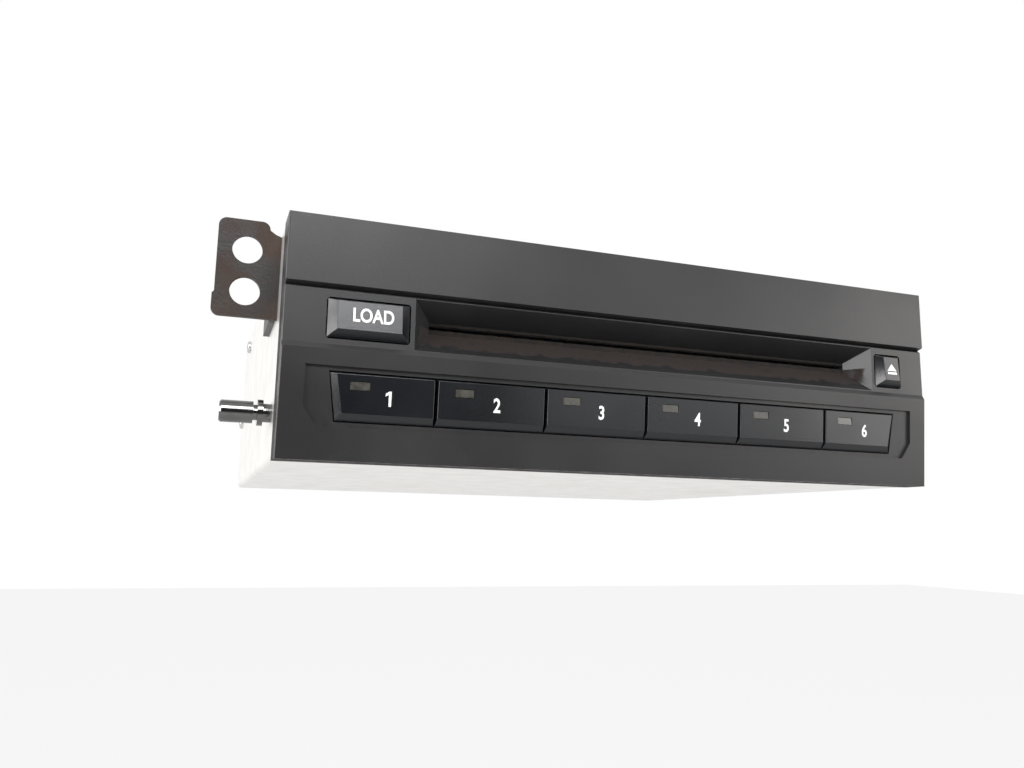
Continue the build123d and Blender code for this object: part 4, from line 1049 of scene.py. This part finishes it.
@dataclass
class Studio:
    """Pale floor, white surround, soft lamps and the camera."""

    floor_size: float = 8.0
    floor_drop: float = 0.30
    floor_fade: float = 0.25
    floor_colour: Colour = (0.86, 0.86, 0.85)
    floor_glow: float = 0.9
    lens: float = 30.586
    eye: Point = (-109.932, -288.352, -14.962)
    right: Point = (0.940108, -0.340407, 0.017877)
    down: Point = (0.072929, 0.149625, -0.986049)
    ahead: Point = (0.332984, 0.928297, 0.165490)
    ambient: float = 0.06
    mirror: float = 1.0
    front: float = 0.1
    front_edge: float = 0.35
    front_core: float = 0.95
    lamps: list[Lamp] = field(default_factory=lambda: [
        Lamp("high_front", (-0.02, -0.82, 0.55), 6.4, (0.99, 0.99, 1.0)),
        Lamp("right_front", (0.45, -0.85, 0.155), 0.7, (1.0, 1.0, 0.99)),
        Lamp("right_window", (0.73, -0.59, 0.155), 2.2, (1.0, 0.97, 0.94)),
        Lamp("left_front", (-0.77, -0.53, 0.155), 5.0, (1.0, 0.98, 0.99)),
        Lamp("left_wall", (-0.89, -0.08, 0.155), 4.0, (1.0, 0.99, 0.99)),
    ])

    def build(self) -> None:
        """Set up the surround, the floor, the lamps and the camera."""
        scene = bpy.context.scene
        scene.view_settings.view_transform = "Standard"
        self.world()
        self.floor()
        for lamp in self.lamps:
            lamp.build()
        self.camera()

    def rays(self, graph: Graph) -> tuple[bpy.types.NodeSocket, bpy.types.NodeSocket]:
        """Tell rays that see a surface from those that only take light from it.

        Args:
            graph: the nodes of the world or of a material.

        Returns:
            1 for rays from the camera or through a glass, and 1 for rays from a gloss.
        """
        path = graph.node("ShaderNodeLightPath")
        direct = graph.math("MAXIMUM", path.outputs["Is Camera Ray"], path.outputs["Is Transmission Ray"])
        return direct, path.outputs["Is Glossy Ray"]

    def world(self) -> None:
        """White surround to the eye, dimmer as a light, and darkest in front of the panel."""
        world = bpy.data.worlds.new("studio")
        bpy.context.scene.world = world
        world.use_nodes = True
        graph = Graph(world.node_tree)
        shader = world.node_tree.nodes["Background"]
        direction = graph.node("ShaderNodeTexCoord").outputs["Generated"]
        parts = graph.node("ShaderNodeSeparateXYZ")
        graph.feed(parts.inputs[0], direction)
        facing = graph.math("MULTIPLY", parts.outputs["Y"], -1.0)
        beside = graph.math("SUBTRACT", 1.0, graph.span(facing, self.front_edge, self.front_core))
        level = graph.math("MULTIPLY_ADD", beside, 1.0 - self.front, self.front)
        direct, glossy = self.rays(graph)
        mirrored = graph.math("MULTIPLY", glossy, graph.math("SUBTRACT", 1.0, direct))
        rest = graph.math("SUBTRACT", 1.0, graph.math("MAXIMUM", direct, glossy))
        share = graph.math("MULTIPLY_ADD", mirrored, self.mirror, graph.math("MULTIPLY", rest, self.ambient))
        graph.feed(shader.inputs["Strength"], graph.math("MULTIPLY_ADD", share, level, direct))
        shader.inputs["Color"].default_value = (1.0, 1.0, 1.0, 1.0)

    def floor(self) -> None:
        """A plain pale floor well below the part, white to the eye."""
        mesh = bmesh.new()
        bmesh.ops.create_grid(mesh, x_segments=1, y_segments=1, size=self.floor_size / 2)
        bmesh.ops.translate(mesh, vec=(0, 0, -self.floor_drop), verts=mesh.verts[:])
        data = bpy.data.meshes.new("floor")
        mesh.to_mesh(data)
        mesh.free()
        floor = bpy.data.objects.new("floor", data)
        bpy.context.scene.collection.objects.link(floor)
        material = bpy.data.materials.new("pale_floor")
        material.use_nodes = True
        graph = Graph(material.node_tree)
        shader = material.node_tree.nodes["Principled BSDF"]
        shader.inputs["Base Color"].default_value = (*self.floor_colour, 1.0)
        shader.inputs["Roughness"].default_value = 0.9
        glow = graph.node("ShaderNodeEmission")
        mixed = graph.node("ShaderNodeMixShader")
        # in reflections, the floor in front of the panel is dull, as the space behind a lens is
        place = graph.node("ShaderNodeSeparateXYZ")
        graph.feed(place.inputs[0], graph.node("ShaderNodeTexCoord").outputs["Object"])
        behind = graph.span(place.outputs["Y"], -self.floor_fade, 0.0)
        direct, glossy = self.rays(graph)
        lit = graph.math("MAXIMUM", direct, graph.math("MULTIPLY", glossy, behind))
        graph.feed(mixed.inputs[0], graph.math("MULTIPLY", lit, self.floor_glow))
        graph.feed(mixed.inputs[1], shader.outputs[0])
        graph.feed(mixed.inputs[2], glow.outputs[0])
        graph.feed(material.node_tree.nodes["Material Output"].inputs["Surface"], mixed.outputs[0])
        data.materials.append(material)

    def camera(self) -> None:
        """Stand the camera at the photograph's place."""
        data = bpy.data.cameras.new("camera")
        data.lens = self.lens
        data.sensor_width = 36.0
        data.clip_start = 0.01
        camera = bpy.data.objects.new("camera", data)
        bpy.context.scene.collection.objects.link(camera)
        turn = Matrix((Vector(self.right), -Vector(self.down), -Vector(self.ahead))).transposed().to_4x4()
        camera.matrix_world = Matrix.Translation(mm(*self.eye)) @ turn
        bpy.context.scene.camera = camera


def main() -> None:
    """Build each sub-assembly in order."""
    logging.basicConfig(level=logging.INFO, format="%(name)s %(message)s")
    group_library()
    for assembly in (Studio(), FrontPanel(), Casing(), Inside()):
        assembly.build()
        log.info("built %s", type(assembly).__name__)


if __name__ == "__main__":
    main()
